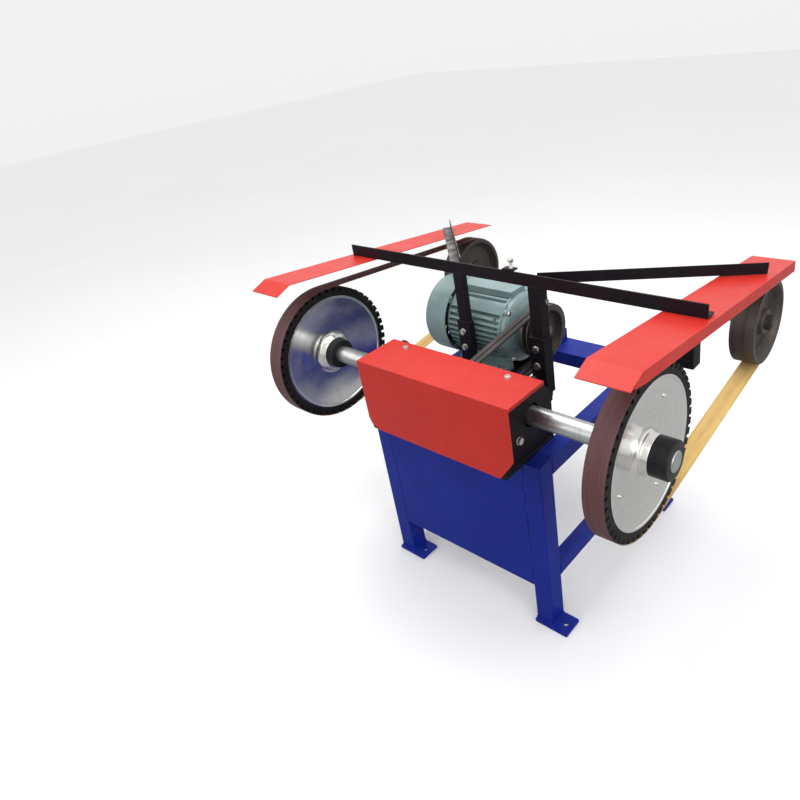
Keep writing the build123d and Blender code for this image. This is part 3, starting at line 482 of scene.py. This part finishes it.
def towards(origin, direction):
    """Frame at origin whose Z axis points along direction."""
    return Matrix.Translation(Vector(origin)) @ Vector(direction).to_track_quat("Z", "Y").to_matrix().to_4x4()


def ring_stack(bm, place, rings):
    """Skins a stack of closed rings given in the frame place, and closes both ends."""
    made = [[bm.verts.new(place @ Vector(p)) for p in ring] for ring in rings]
    skin_between(bm, made)
    bm.faces.new(made[0])
    bm.faces.new(made[-1])


def circle(radius, z, count=24):
    return [(radius * math.cos(2 * math.pi * k / count), radius * math.sin(2 * math.pi * k / count), z)
            for k in range(count)]


def hexagon(corner, z, chamfer=None, count=24):
    """Points round a hexagon; past the radius chamfer they dip as on a turned bolt head."""
    points = []
    for k in range(count):
        a = 2 * math.pi * k / count
        r = corner * math.cos(math.pi / 6) / math.cos((a % (math.pi / 3)) - math.pi / 6)
        dip = 0.0 if chamfer is None else (r - chamfer) * 0.5
        points.append((r * math.cos(a), r * math.sin(a), z - dip))
    return points


WASHER_T = 1.4 * MM


def bolt_into(bm, seat, up, corner, height, washer=None):
    """Hexagon head with its turned chamfer; up points away from the clamped face."""
    place = towards(seat, up)
    base = 0.0
    if washer:
        base = WASHER_T
        ring_stack(bm, place, [
            circle(washer, 0.0), circle(washer, base * 0.7), circle(washer - 0.3 * MM, base)])
    top = base + height
    flat = corner * 0.84
    ring_stack(bm, place, [
        circle(flat, base), hexagon(corner, base + 0.3 * MM), hexagon(corner, top, flat),
        circle(flat, top), circle(flat * 0.92, top)])


def thread_into(bm, start, up, radius, length, pitch=1.25 * MM):
    """A bare threaded length."""
    rings, z = [circle(radius, 0.0)], 0.0
    while z + pitch < length:
        rings += [circle(radius, z + pitch * 0.3), circle(radius * 0.86, z + pitch * 0.75)]
        z += pitch
    ring_stack(bm, towards(start, up), rings + [circle(radius * 0.8, length)])


def weld_into(bm, start, end, radius, sides=10):
    """A hand-laid bead: overlapping ripples that wander a little."""
    start, end = Vector(start), Vector(end)
    run = end - start
    steps = max(int(run.length / (1.1 * MM)), 6)
    place = towards(start, run)
    turns = [2 * math.pi * k / sides for k in range(sides)]
    rings, wander = [], 0.0
    for i in range(steps + 1):
        z = run.length * i / steps
        wander = wander * 0.9 + random.uniform(-0.12, 0.12) * radius
        ripple = 0.84 + 0.20 * abs(math.sin(math.pi * z / (3.6 * MM))) + random.uniform(-0.03, 0.03)
        fade = min(1.0, 0.35 + 4.0 * min(z, run.length - z) / (10 * MM))
        r = radius * ripple * fade
        rings.append([(r * math.cos(t) + wander, r * math.sin(t), z) for t in turns])
    ring_stack(bm, place, rings)


# ---- sheet, tube and cast parts -------------------------------------------------------
ANY_CORNER, TUBE_CORNER = 24.0, 40.0     # degrees; sharper edges than this are broken
EASED = (   # nodes, material, width of the round, angle
    (("leg_front_right", "leg_front_left", "leg_rear_right", "leg_rear_left", "side_rail_left",
      "side_rail_right", "low_rail_left", "low_rail_right", "front_beam", "bench_beam", "rear_beam",
      "motor_beams"), blue, 0.7 * MM, TUBE_CORNER),
    (("foot_plates",), blue, 1.0 * MM, ANY_CORNER),
    (("front_panel",), blue, 0.8 * MM, ANY_CORNER),
    (("bench_plate", "end_plate_right", "end_plate_left", "tie_bar", "post_lower_right",
      "post_lower_left", "post_upper_right", "post_upper_left", "post_bar", "motor_plate"),
     black, 0.8 * MM, ANY_CORNER),
    (("crossbar", "brace_right", "sleeve_right", "sleeve_left"), black, 1.0 * MM, ANY_CORNER),
    (("brace_left",), dust_and_sheen_black, 1.0 * MM, ANY_CORNER),
    (("bearings",), black, 1.0 * MM, ANY_CORNER),
    (("cover", "guard_right", "guard_left"), red, 0.9 * MM, ANY_CORNER),
    (("motor_body", "motor_shields", "terminal_box"), motor_grey, 0.8 * MM, ANY_CORNER),
)
for members, material, width, corner in EASED:
    for member in members:
        eased(member, material, width, corner)

KEPT_SHAPES = {
    "fan_cowl": motor_grey, "vee_belts": vee_rubber, "motor_fan": fan_plastic,
    "rotor_shaft": rotor_steel, "motor_pulley": pulley_iron, "spindle_pulley": pulley_iron,
    "idler_arm_right": idler_iron, "idler_arm_left": idler_iron}
for member, material in KEPT_SHAPES.items():
    nodes[member].data.materials.clear()
    nodes[member].data.materials.append(material)

SIDES = (("right", 1), ("left", -1))
UP = (0, 0, 1)
# hexagon heads: corner radius, height and, where there is one, washer radius
EAR_HEAD = (6.5 * MM, 4.5 * MM, 7.5 * MM)
COVER_HEAD = (8.0 * MM, 4.4 * MM, 8.4 * MM)
PLATE_HEAD = (10.0 * MM, 6.4 * MM, 10.8 * MM)
BEARING_HEAD = (8.6 * MM, 6.2 * MM)
POST_HEAD = (9.6 * MM, 5.2 * MM, 10.4 * MM)
POST_NUT = (9.6 * MM, 6.6 * MM)
GUARD_HEAD = (7.0 * MM, 4.0 * MM, 7.4 * MM)
FLANGE_HEAD = (7.6 * MM, 5.0 * MM)
MOTOR_HEAD = (9.0 * MM, 5.6 * MM, 9.4 * MM)
LUG_HEAD = (8.2 * MM, 7.4 * MM)
BOLT_SHARP, WELD_SHARP = 28.0, 60.0


def fasteners(name, bm, body="frame", stands_for=()):
    """Zinc-plated screws or bolts as one piece."""
    make_piece(name, bm, zinc, body, stands_for, BOLT_SHARP)


def motor_details():
    """The ring that closes the fins at the drive end, and the shield's ear screws."""
    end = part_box("motor_body")[1].x
    outer, neck, inner = 104 * MM, 90 * MM, 86 * MM
    profile = [(end - 26 * MM, inner), (end - 24 * MM, neck), (end - 6 * MM, outer),
               (end - 0.2 * MM, outer), (end - 0.2 * MM, inner)]
    ring = bmesh.new()
    spin_into(ring, rounded(profile, 1.5 * MM), motor_axis)
    make_piece("motor_fin_collar", ring, motor_grey, "frame")
    ears, ear_circle, ear_face = bmesh.new(), 99 * MM, end + 14 * MM
    for quarter in range(4):
        at = round_axis(motor_axis, ear_circle, math.pi / 4 + quarter * math.pi / 2)
        bolt_into(ears, (ear_face, *at), (1, 0, 0), *EAR_HEAD)
    fasteners("motor_shield_screws", ears)


motor_details()

# ---- welds ----------------------------------------------------------------------------
bench_low, bench_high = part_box("bench_plate")
bar_low, bar_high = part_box("crossbar")


def weld_legs(bm):
    """A bead round each leg where it stands on its foot plate."""
    for corner in ("front_right", "front_left", "rear_right", "rear_left"):
        low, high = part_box("leg_" + corner)
        z = low.z + 0.4 * MM
        ring = [(low.x, low.y), (high.x, low.y), (high.x, high.y), (low.x, high.y)]
        for a, b in zip(ring, ring[1:] + ring[:1]):
            weld_into(bm, (*a, z), (*b, z), 2.4 * MM)


def weld_rails(bm):
    """Beads down both sides and along the top of each rail's ends."""
    bead, inset = 1.9 * MM, 2 * MM
    for rail in ("side_rail_right", "side_rail_left", "low_rail_right", "low_rail_left"):
        low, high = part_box(rail)
        for y in (low.y, high.y):
            for x in (low.x, high.x):
                weld_into(bm, (x, y, low.z + inset), (x, y, high.z - inset), bead)
            weld_into(bm, (low.x + inset, y, high.z), (high.x - inset, y, high.z), bead)


def weld_panel(bm):
    """Short stitches down both edges of the front panel."""
    bead, stitch, pitch = 1.8 * MM, 32 * MM, 92 * MM
    low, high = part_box("front_panel")
    y = low.y + 0.6 * MM
    for x in (low.x, high.x):
        z = low.z + 20 * MM
        while z < high.z - 40 * MM:
            weld_into(bm, (x, y, z), (x, y, z + stitch), bead)
            z += pitch


def weld_bench(bm):
    """The bench plate to the top of the side rails, heavier on the right."""
    inset = 0.5 * MM
    for rail, x, bead in (("side_rail_right", bench_high.x + inset, 3.4 * MM),
                          ("side_rail_left", bench_low.x, 3.0 * MM)):
        low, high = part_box(rail)
        z = high.z + inset
        weld_into(bm, (x, low.y, z), (x, bench_high.y, z), bead)


def weld_black_parts(bm):
    """End plates to the bench plate, and the outriggers to the rear legs."""
    inset = 4 * MM
    for side, way in SIDES:
        low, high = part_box("end_plate_" + side)
        x, z = high.x if way > 0 else low.x, bench_high.z
        weld_into(bm, (x, low.y + inset, z), (x, high.y - inset, z), 2.6 * MM)
        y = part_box("sleeve_" + side)[0].y
        low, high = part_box("leg_rear_" + side)
        weld_into(bm, (low.x + inset, y, high.z), (high.x - inset, y, high.z), 2.4 * MM)


def weld_crossbar(bm):
    """The upper posts to the front face of the cross bar."""
    for side, _ in SIDES:
        low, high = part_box("post_upper_" + side)
        y = bar_low.y + 1 * MM
        weld_into(bm, (low.x, y, high.z), (high.x, y, high.z), 1.9 * MM)


frame_welds = bmesh.new()
for lay_beads in (weld_legs, weld_rails, weld_panel, weld_bench):
    lay_beads(frame_welds)
make_piece("frame_welds", frame_welds, blue, "frame", sharp=WELD_SHARP)
bench_welds = bmesh.new()
weld_black_parts(bench_welds)
make_piece("bench_welds", bench_welds, black, "frame", sharp=WELD_SHARP)
bar_welds = bmesh.new()
weld_crossbar(bar_welds)
make_piece("crossbar_welds", bar_welds, black, "guard_set", sharp=WELD_SHARP)


# ---- bolts ----------------------------------------------------------------------------
def cover_screws():
    bm = bmesh.new()
    low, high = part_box("cover_bolts")
    inset, top = 8.5 * MM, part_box("cover")[1].z
    for x in (low.x + inset, high.x - inset):
        bolt_into(bm, (x, (low.y + high.y) / 2, top), UP, *COVER_HEAD)
    fasteners("cover_screws", bm, stands_for=["cover_bolts"])


def bearing_screws():
    """One through bolt outside each end plate and four heads on the housing inside it."""
    bm = bmesh.new()
    through_y, through_z = 56 * MM, 41 * MM
    circle_r, housing = 55 * MM, 14 * MM
    for side, way in SIDES:
        low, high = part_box("end_plate_" + side)
        outside, inside = (high.x, low.x) if way > 0 else (low.x, high.x)
        bolt_into(bm, (outside, spindle_axis[0] - through_y, spindle_axis[1] - through_z), (way, 0, 0),
                  *PLATE_HEAD)
        for quarter in range(4):
            at = round_axis(spindle_axis, circle_r, quarter * math.pi / 2)
            bolt_into(bm, (inside - way * housing, *at), (-way, 0, 0), *BEARING_HEAD)
    fasteners("bearing_screws", bm, stands_for=["bearing_bolts"])


def post_screws():
    """Heads in front of the lower posts and nuts behind the upper ones."""
    bm = bmesh.new()
    low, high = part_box("post_bolts")
    from_end, from_edge, grip = 10.5 * MM, 19 * MM, 8.6 * MM
    for side, _ in SIDES:
        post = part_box("post_lower_" + side)[0]
        for z in (low.z + from_end, high.z - from_end):
            bolt_into(bm, (post.x + from_edge, post.y, z), (0, -1, 0), *POST_HEAD)
            bolt_into(bm, (post.x + from_edge, post.y + grip, z), (0, 1, 0), *POST_NUT)
    fasteners("post_screws", bm, stands_for=["post_bolts"])


def guard_screws():
    """One bolt through each guard, and one in the right post's side leg."""
    bm = bmesh.new()
    from_front, angle_t = 20 * MM, 4 * MM
    for side, _ in SIDES:
        low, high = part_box("guard_" + side)
        bolt_into(bm, ((low.x + high.x) / 2, bar_low.y + from_front, bar_low.z + angle_t), UP, *GUARD_HEAD)
    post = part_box("post_upper_right")[1]
    from_front, from_top = 26 * MM, 44.6 * MM
    bolt_into(bm, (post.x, bar_low.y + from_front, post.z - from_top), (1, 0, 0), *FLANGE_HEAD)
    fasteners("guard_screws", bm, "guard_set", ["guard_bolts"])


def motor_screws():
    bm = bmesh.new()
    low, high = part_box("motor_bolts")
    inset_x, inset_y, seat = 9.5 * MM, 8.2 * MM, high.z - 7.5 * MM
    for x in (low.x + inset_x, high.x - inset_x):
        for y in (low.y + inset_y, high.y - inset_y):
            bolt_into(bm, (x, y, seat), UP, *MOTOR_HEAD)
    fasteners("motor_screws", bm, stands_for=["motor_bolts"])


def crossbar_lug():
    """The small plate on the cross bar, with a bolt screwed only part of the way down."""
    low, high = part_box("crossbar_lug")
    thick = 5 * MM
    centre = ((low.x + high.x) / 2, (low.y + high.y) / 2, bar_high.z + thick / 2)
    plate = bmesh.new()
    bmesh.ops.create_cube(plate, size=1.0, matrix=Matrix.Translation(centre) @ Matrix.Diagonal(
        (high.x - low.x, high.y - low.y, thick, 1)))
    bmesh.ops.bevel(plate, geom=plate.edges[:], offset=1.2 * MM, segments=3, profile=0.5, affect="EDGES")
    make_piece("crossbar_lug_plate", plate, black, "guard_set", ["crossbar_lug"])
    bolt = bmesh.new()
    x, y, z = low.x + 22 * MM, low.y + 11 * MM, bar_high.z + thick
    stud_r, raised = 5 * MM, 17 * MM
    thread_into(bolt, (x, y, z), UP, stud_r, raised + 0.5 * MM)
    bolt_into(bolt, (x, y, z + raised), UP, *LUG_HEAD)
    fasteners("crossbar_lug_screw", bolt, "guard_set")


for make in (cover_screws, bearing_screws, post_screws, guard_screws, motor_screws, crossbar_lug):
    make()

# ---- spindle, collars, wheels and tyres ---------------------------------------------------
shaft_r = (spindle_high.z - spindle_low.z) / 2
hub_low, hub_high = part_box("contact_wheel_right")
tyre_low, tyre_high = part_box("tyre_right")
tyre_mid, rim_r = (tyre_low.x + tyre_high.x) / 2, (hub_high.z - hub_low.z) / 2
HUB_R, WEB = 50 * MM, 8 * MM
TEETH, SLOT, SLOT_DEPTH, LEAN = 48, 0.38, 12 * MM, 0.055


def spindle_shaft():
    """The chamfered bar with a centre drilled in each end."""
    bm = bmesh.new()
    end, chamfer, tip = spindle_high.x, 2 * MM, 0.5 * MM
    spin_into(bm, rounded(
        [(-end, tip), (-end, shaft_r - chamfer), (-end + chamfer, shaft_r), (end - chamfer, shaft_r),
         (end, shaft_r - chamfer), (end, tip)], [0, tip, tip, tip, tip, 0]), spindle_axis)
    for _, way in reversed(SIDES):
        spin_into(bm, [(end - 0.05 * MM, 4.2 * MM), (end - 4 * MM, 1.0 * MM), (end - 4 * MM, 0.9 * MM),
                       (end - 0.1 * MM, 4.6 * MM)], spindle_axis, way, 32)
    make_piece("spindle_shaft", bm, shaft_steel, "spindle", ["spindle"])


def locking_collars():
    """A long collar outside each wheel and a short one inside it."""
    bm = bmesh.new()
    low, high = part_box("spindle_collars")
    collar_r, inner_r, inner_x = (high.z - low.z) / 2, 43 * MM, hub_low.x - 20 * MM
    outer = rounded([(hub_high.x, shaft_r), (hub_high.x, collar_r), (high.x, collar_r), (high.x, shaft_r)],
                    [0, 1.5 * MM, 4.5 * MM, 1.0 * MM])
    inner = rounded([(inner_x, shaft_r), (inner_x, inner_r), (hub_low.x, inner_r), (hub_low.x, shaft_r)],
                    [1.0 * MM, 3.0 * MM, 1.0 * MM, 0])
    for _, way in reversed(SIDES):
        spin_into(bm, outer, spindle_axis, way, 96)
        spin_into(bm, inner, spindle_axis, way, 96)
    make_piece("spindle_locking_collars", bm, blackened, "spindle", ["spindle_collars"])


def contact_wheel(side, way):
    """The dished aluminium wheel; half its section is drawn and mirrored about its middle."""
    face = tyre_high.x
    half = [   # x, radius and rounding of each corner, from the rim in to the bore
        (face, rim_r, 0.6), (face, rim_r - 5 * MM, 1.0), (face - 2.5 * MM, rim_r - 6.5 * MM, 2),
        (face - 4 * MM, rim_r - 14 * MM, 4), (tyre_mid + WEB + 5 * MM, rim_r - 60 * MM, 40),
        (tyre_mid + WEB + 0.5 * MM, HUB_R + 13 * MM, 14), (tyre_mid + WEB + 6 * MM, HUB_R + 1 * MM, 8),
        (hub_high.x - 16 * MM, HUB_R, 0.4), (hub_high.x - 15 * MM, HUB_R - 1 * MM, 0.4),
        (hub_high.x, HUB_R - 1 * MM, 2.0), (hub_high.x, shaft_r, 0)]
    section = half + [(2 * tyre_mid - x, r, ease) for x, r, ease in reversed(half)]
    outline = rounded([(max(x, hub_low.x), r) for x, r, _ in section], [e * MM for _, _, e in section], 7)
    bm = bmesh.new()
    spin_into(bm, outline, spindle_axis, way, 160)
    make_piece("dished_wheel_" + side, bm, aluminium, "spindle",
               ["contact_wheel_" + side], 40.0)


def wheel_studs(side, way):
    """Three balance studs on the dish and two grub screws in the hub."""
    bm = bmesh.new()
    for angle in (0.9, 3.4, 5.1):
        at = (way * (tyre_mid + WEB + 8.5 * MM), *round_axis(spindle_axis, 126 * MM, angle))
        ring_stack(bm, towards(at, (way, 0, 0)), [circle(5 * MM, -3 * MM), circle(5 * MM, 1.6 * MM),
                                                  circle(4.2 * MM, 2.6 * MM), circle(2.5 * MM, 3.0 * MM)])
    for angle in (2.0, 2.0 + math.pi):
        at = (way * (hub_high.x - 7 * MM), *round_axis(spindle_axis, HUB_R - 1.6 * MM, angle))
        ring_stack(bm, towards(at, (0, math.cos(angle), math.sin(angle))), [
            circle(4 * MM, -2 * MM), circle(4 * MM, 0.9 * MM), circle(3.4 * MM, 1.3 * MM),
            circle(1.8 * MM, 1.3 * MM), circle(1.6 * MM, -1.0 * MM)])
    make_piece("balance_studs_" + side, bm, zinc, "spindle", sharp=40.0)


def serrated_tyre(side, way):
    """Rubber ring cut across by leaning slots."""
    tooth = [(0.0, 0.0), (0.03, 1.0), (SLOT - 0.03, 1.0), (SLOT, 0.0), (0.5, 0.0), (0.75, 0.0)]
    tread_r, chamfer = (tyre_high.z - tyre_low.z) / 2, 1.0 * MM
    bm = bmesh.new()

    def row(t, radius, slot_depth):
        """One loop round the tyre, t of the way across its width."""
        points = []
        for number in range(TEETH):
            for share, deep in tooth:
                angle = 2 * math.pi * (number + share) / TEETH + LEAN * (t - 0.5) * way
                x = way * (tyre_low.x + (tyre_high.x - tyre_low.x) * t)
                at = round_axis(spindle_axis, radius - slot_depth * deep, angle)
                points.append(bm.verts.new((x, *at)))
        return points

    rows = [row(t, tread_r - (chamfer if t in (0.0, 1.0) else 0.0), SLOT_DEPTH)
            for t in (0.0, 0.02, 0.25, 0.5, 0.75, 0.98, 1.0)]
    rows = [row(0.0, rim_r, 0.0)] + rows + [row(1.0, rim_r, 0.0)]
    skin_between(bm, rows + rows[:1])
    make_piece("serrated_tyre_" + side, bm, tyre_rubber, "spindle", ["tyre_" + side], 35.0)


spindle_shaft()
locking_collars()
for side, way in SIDES:
    contact_wheel(side, way)
    wheel_studs(side, way)
    serrated_tyre(side, way)


# ---- abrasive belts and idlers --------------------------------------------------------
def belt_path(c0, r0, c1, r1, arc=140, straight=60):
    """Points and outward directions along a belt round two wheels."""
    d = Vector(c1) - Vector(c0)
    a, b = math.atan2(d.y, d.x), math.asin((r0 - r1) / d.length)
    up, low = a + math.pi / 2 - b, a - math.pi / 2 + b

    def bend(centre, radius, start, turn, count):
        angles = [start + turn * k / (count - 1) for k in range(count)]
        return [(*round_axis(centre, radius, t), math.cos(t), math.sin(t)) for t in angles]

    def run(start, end):
        shares = [k / straight for k in range(1, straight)]
        return [(start[0] * (1 - t) + end[0] * t, start[1] * (1 - t) + end[1] * t, start[2], start[3])
                for t in shares]

    front = bend(c0, r0, up, 2 * math.pi - (up - low), arc)
    rear = bend(c1, r1, low, up - low, arc // 2)
    return front + run(front[-1], rear[0]) + rear + run(rear[-1], front[0])


def grinding_belt(side):
    """Endless belt with grain outside and on its edges, and cloth inside; its UV is in metres."""
    low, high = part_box("abrasive_belt_" + side)
    thick, edge = 1.2 * MM, 0.4 * MM
    front_r, rear_r = spindle_axis[0] - low.y - thick, high.y - idler_axis[0] - thick
    path = belt_path(spindle_axis, front_r, idler_axis, rear_r)
    columns = [(low.x, 0.0, 0.15, 0.55), (low.x + edge, 0.0004, 0.0, 1.0),     # x, v, inner and outer lift
               (high.x - edge, 0.0496, 0.0, 1.0), (high.x, 0.05, 0.15, 0.55)]
    section = [(x, v, outer) for x, v, _, outer in columns]
    section += [(x, v, inner) for x, v, inner, _ in reversed(columns)]
    grain_faces = (4, 5, 6)
    belt = bmesh.new()
    uv = belt.loops.layers.uv.new("run")
    grid, length, previous = [], 0.0, None
    for y, z, ny, nz in path:
        if previous:
            length += math.hypot(y - previous[0], z - previous[1])
        previous = (y, z)
        grid.append(([belt.verts.new((x, y + ny * thick * lift, z + nz * thick * lift))
                      for x, _, lift in section], length))
    total = length + (Vector(path[0][:2]) - Vector(path[-1][:2])).length
    count = len(section)
    for i, (ring, at) in enumerate(grid):
        after, after_at = grid[i + 1] if i + 1 < len(grid) else (grid[0][0], total)
        for k in range(count):
            n = (k + 1) % count
            face = belt.faces.new((ring[k], ring[n], after[n], after[k]))
            face.material_index = 1 if k in grain_faces else 0
            for loop, u, column in zip(face.loops, (at, at, after_at, after_at), (k, n, n, k)):
                loop[uv].uv = (u, section[column][1])
    make_piece("grinding_belt_" + side, belt, [abrasive, backing], "frame",
               ["abrasive_belt_" + side], 50.0)


def idler(side, way):
    """Dished cast wheel, a little deeper on its inner face."""
    low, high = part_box("idler_wheel_right")
    r, bore, mid = (high.z - low.z) / 2, 15.05 * MM, (low.x + high.x) / 2
    inner, outer = mid - 7 * MM, mid + 8 * MM
    hub, boss, dish, lip = 34 * MM, 38 * MM, (60 * MM, 92 * MM), (r - 15 * MM, r - 14 * MM)
    corners = [   # x, radius and rounding
        (low.x + 8 * MM, bore, 0.5), (low.x + 8 * MM, hub, 3), (inner - 2 * MM, boss, 8), (inner, dish[0], 8),
        (inner, dish[1], 12), (low.x + 4 * MM, lip[0], 6), (low.x, lip[1], 1), (low.x, r, 2.2),
        (high.x, r, 2.2), (high.x, lip[1], 1), (high.x - 4 * MM, lip[0], 6), (outer, dish[1], 12),
        (outer, dish[0], 8), (outer + 2 * MM, boss, 8), (high.x - 6 * MM, hub, 3),
        (high.x - 6 * MM, bore, 0.5)]
    bm = bmesh.new()
    outline = rounded([(x, radius) for x, radius, _ in corners], [ease * MM for _, _, ease in corners], 6)
    spin_into(bm, outline, idler_axis, way)
    make_piece("dished_idler_" + side, bm, idler_iron, "idler_" + side,
               ["idler_wheel_" + side], 40.0)


for side, _ in SIDES:
    grinding_belt(side)
for side, way in SIDES:
    idler(side, way)


# ---- surroundings ---------------------------------------------------------------------
def pale(tree):
    """Seen pale, but lighting the machine from below only as much as a grey floor would."""
    seen = blend_colour(tree, use(tree, CLOUDY, Scale=0.6)["Value"], (0.86, 0.86, 0.87), (0.89, 0.89, 0.895))
    direct = tree.nodes.new("ShaderNodeLightPath").outputs["Is Camera Ray"]
    return blend_colour(tree, direct, (0.34, 0.34, 0.34), seen)


def studio_floor():
    bm = bmesh.new()
    bmesh.ops.create_grid(bm, x_segments=8, y_segments=8, size=14.0)
    mesh = bpy.data.meshes.new("studio_floor")
    bm.to_mesh(mesh)
    bm.free()
    mesh.materials.append(finish("pale studio floor", pale, lambda tree: spread(
        tree, use(tree, CLOUDY, Scale=3.0)["Value"], 0, 1, 0.7, 0.8)))
    floor = bpy.data.objects.new("studio_floor", mesh)
    bpy.context.scene.collection.objects.link(floor)


def soft_sky():
    """Even light from all round, a little darker near the horizon."""
    world = bpy.data.worlds.new("soft studio")
    bpy.context.scene.world = world
    world.use_nodes = True
    sky = world.node_tree
    place = sky.nodes.new("ShaderNodeTexCoord").outputs["Generated"]
    height = add(sky, "SeparateXYZ", Vector=place).outputs["Z"]
    shade = blend_colour(sky, spread(sky, height, -0.1, 0.7), (0.93, 0.925, 0.93), (1.0, 1.0, 1.0))
    feed(sky, sky.nodes["Background"].inputs["Color"], shade)
    sky.nodes["Background"].inputs["Strength"].default_value = 0.95


def soft_light(name, at, aim, size, power):
    lamp = bpy.data.lights.new(name, "AREA")
    lamp.shape, lamp.size, lamp.size_y, lamp.energy = "RECTANGLE", size[0], size[1], power
    lit = bpy.data.objects.new(name, lamp)
    bpy.context.scene.collection.objects.link(lit)
    lit.location = at
    lit.rotation_mode = "QUATERNION"
    lit.rotation_quaternion = (Vector(aim) - Vector(at)).to_track_quat("-Z", "Y")


def viewpoint():
    """A standing person's view over the right front corner, held a little off level."""
    viewer = bpy.data.cameras.new("viewpoint")
    viewer.sensor_width, viewer.lens = 36.0, 30.0
    viewer.shift_x, viewer.shift_y = -0.0907, -0.0438
    viewer.clip_start, viewer.clip_end = 0.05, 60.0
    camera = bpy.data.objects.new("viewpoint", viewer)
    bpy.context.scene.collection.objects.link(camera)
    camera.location = (1.06451, -1.36858, 1.53857)
    camera.rotation_euler = [math.radians(angle) for angle in (61.718, 6.954, 39.521)]
    bpy.context.scene.camera = camera


studio_floor()
soft_sky()
soft_light("overhead", (-0.3, 0.2, 3.2), (0, 0, 0.5), (2.6, 2.6), 60)
soft_light("window_side", (3.0, -1.2, 2.0), (0.1, 0, 0.6), (1.6, 2.2), 26)
soft_light("front_fill", (-1.6, -3.0, 1.8), (0, 0, 0.6), (1.5, 1.5), 12)
viewpoint()
bpy.context.scene.view_settings.view_transform = "Standard"
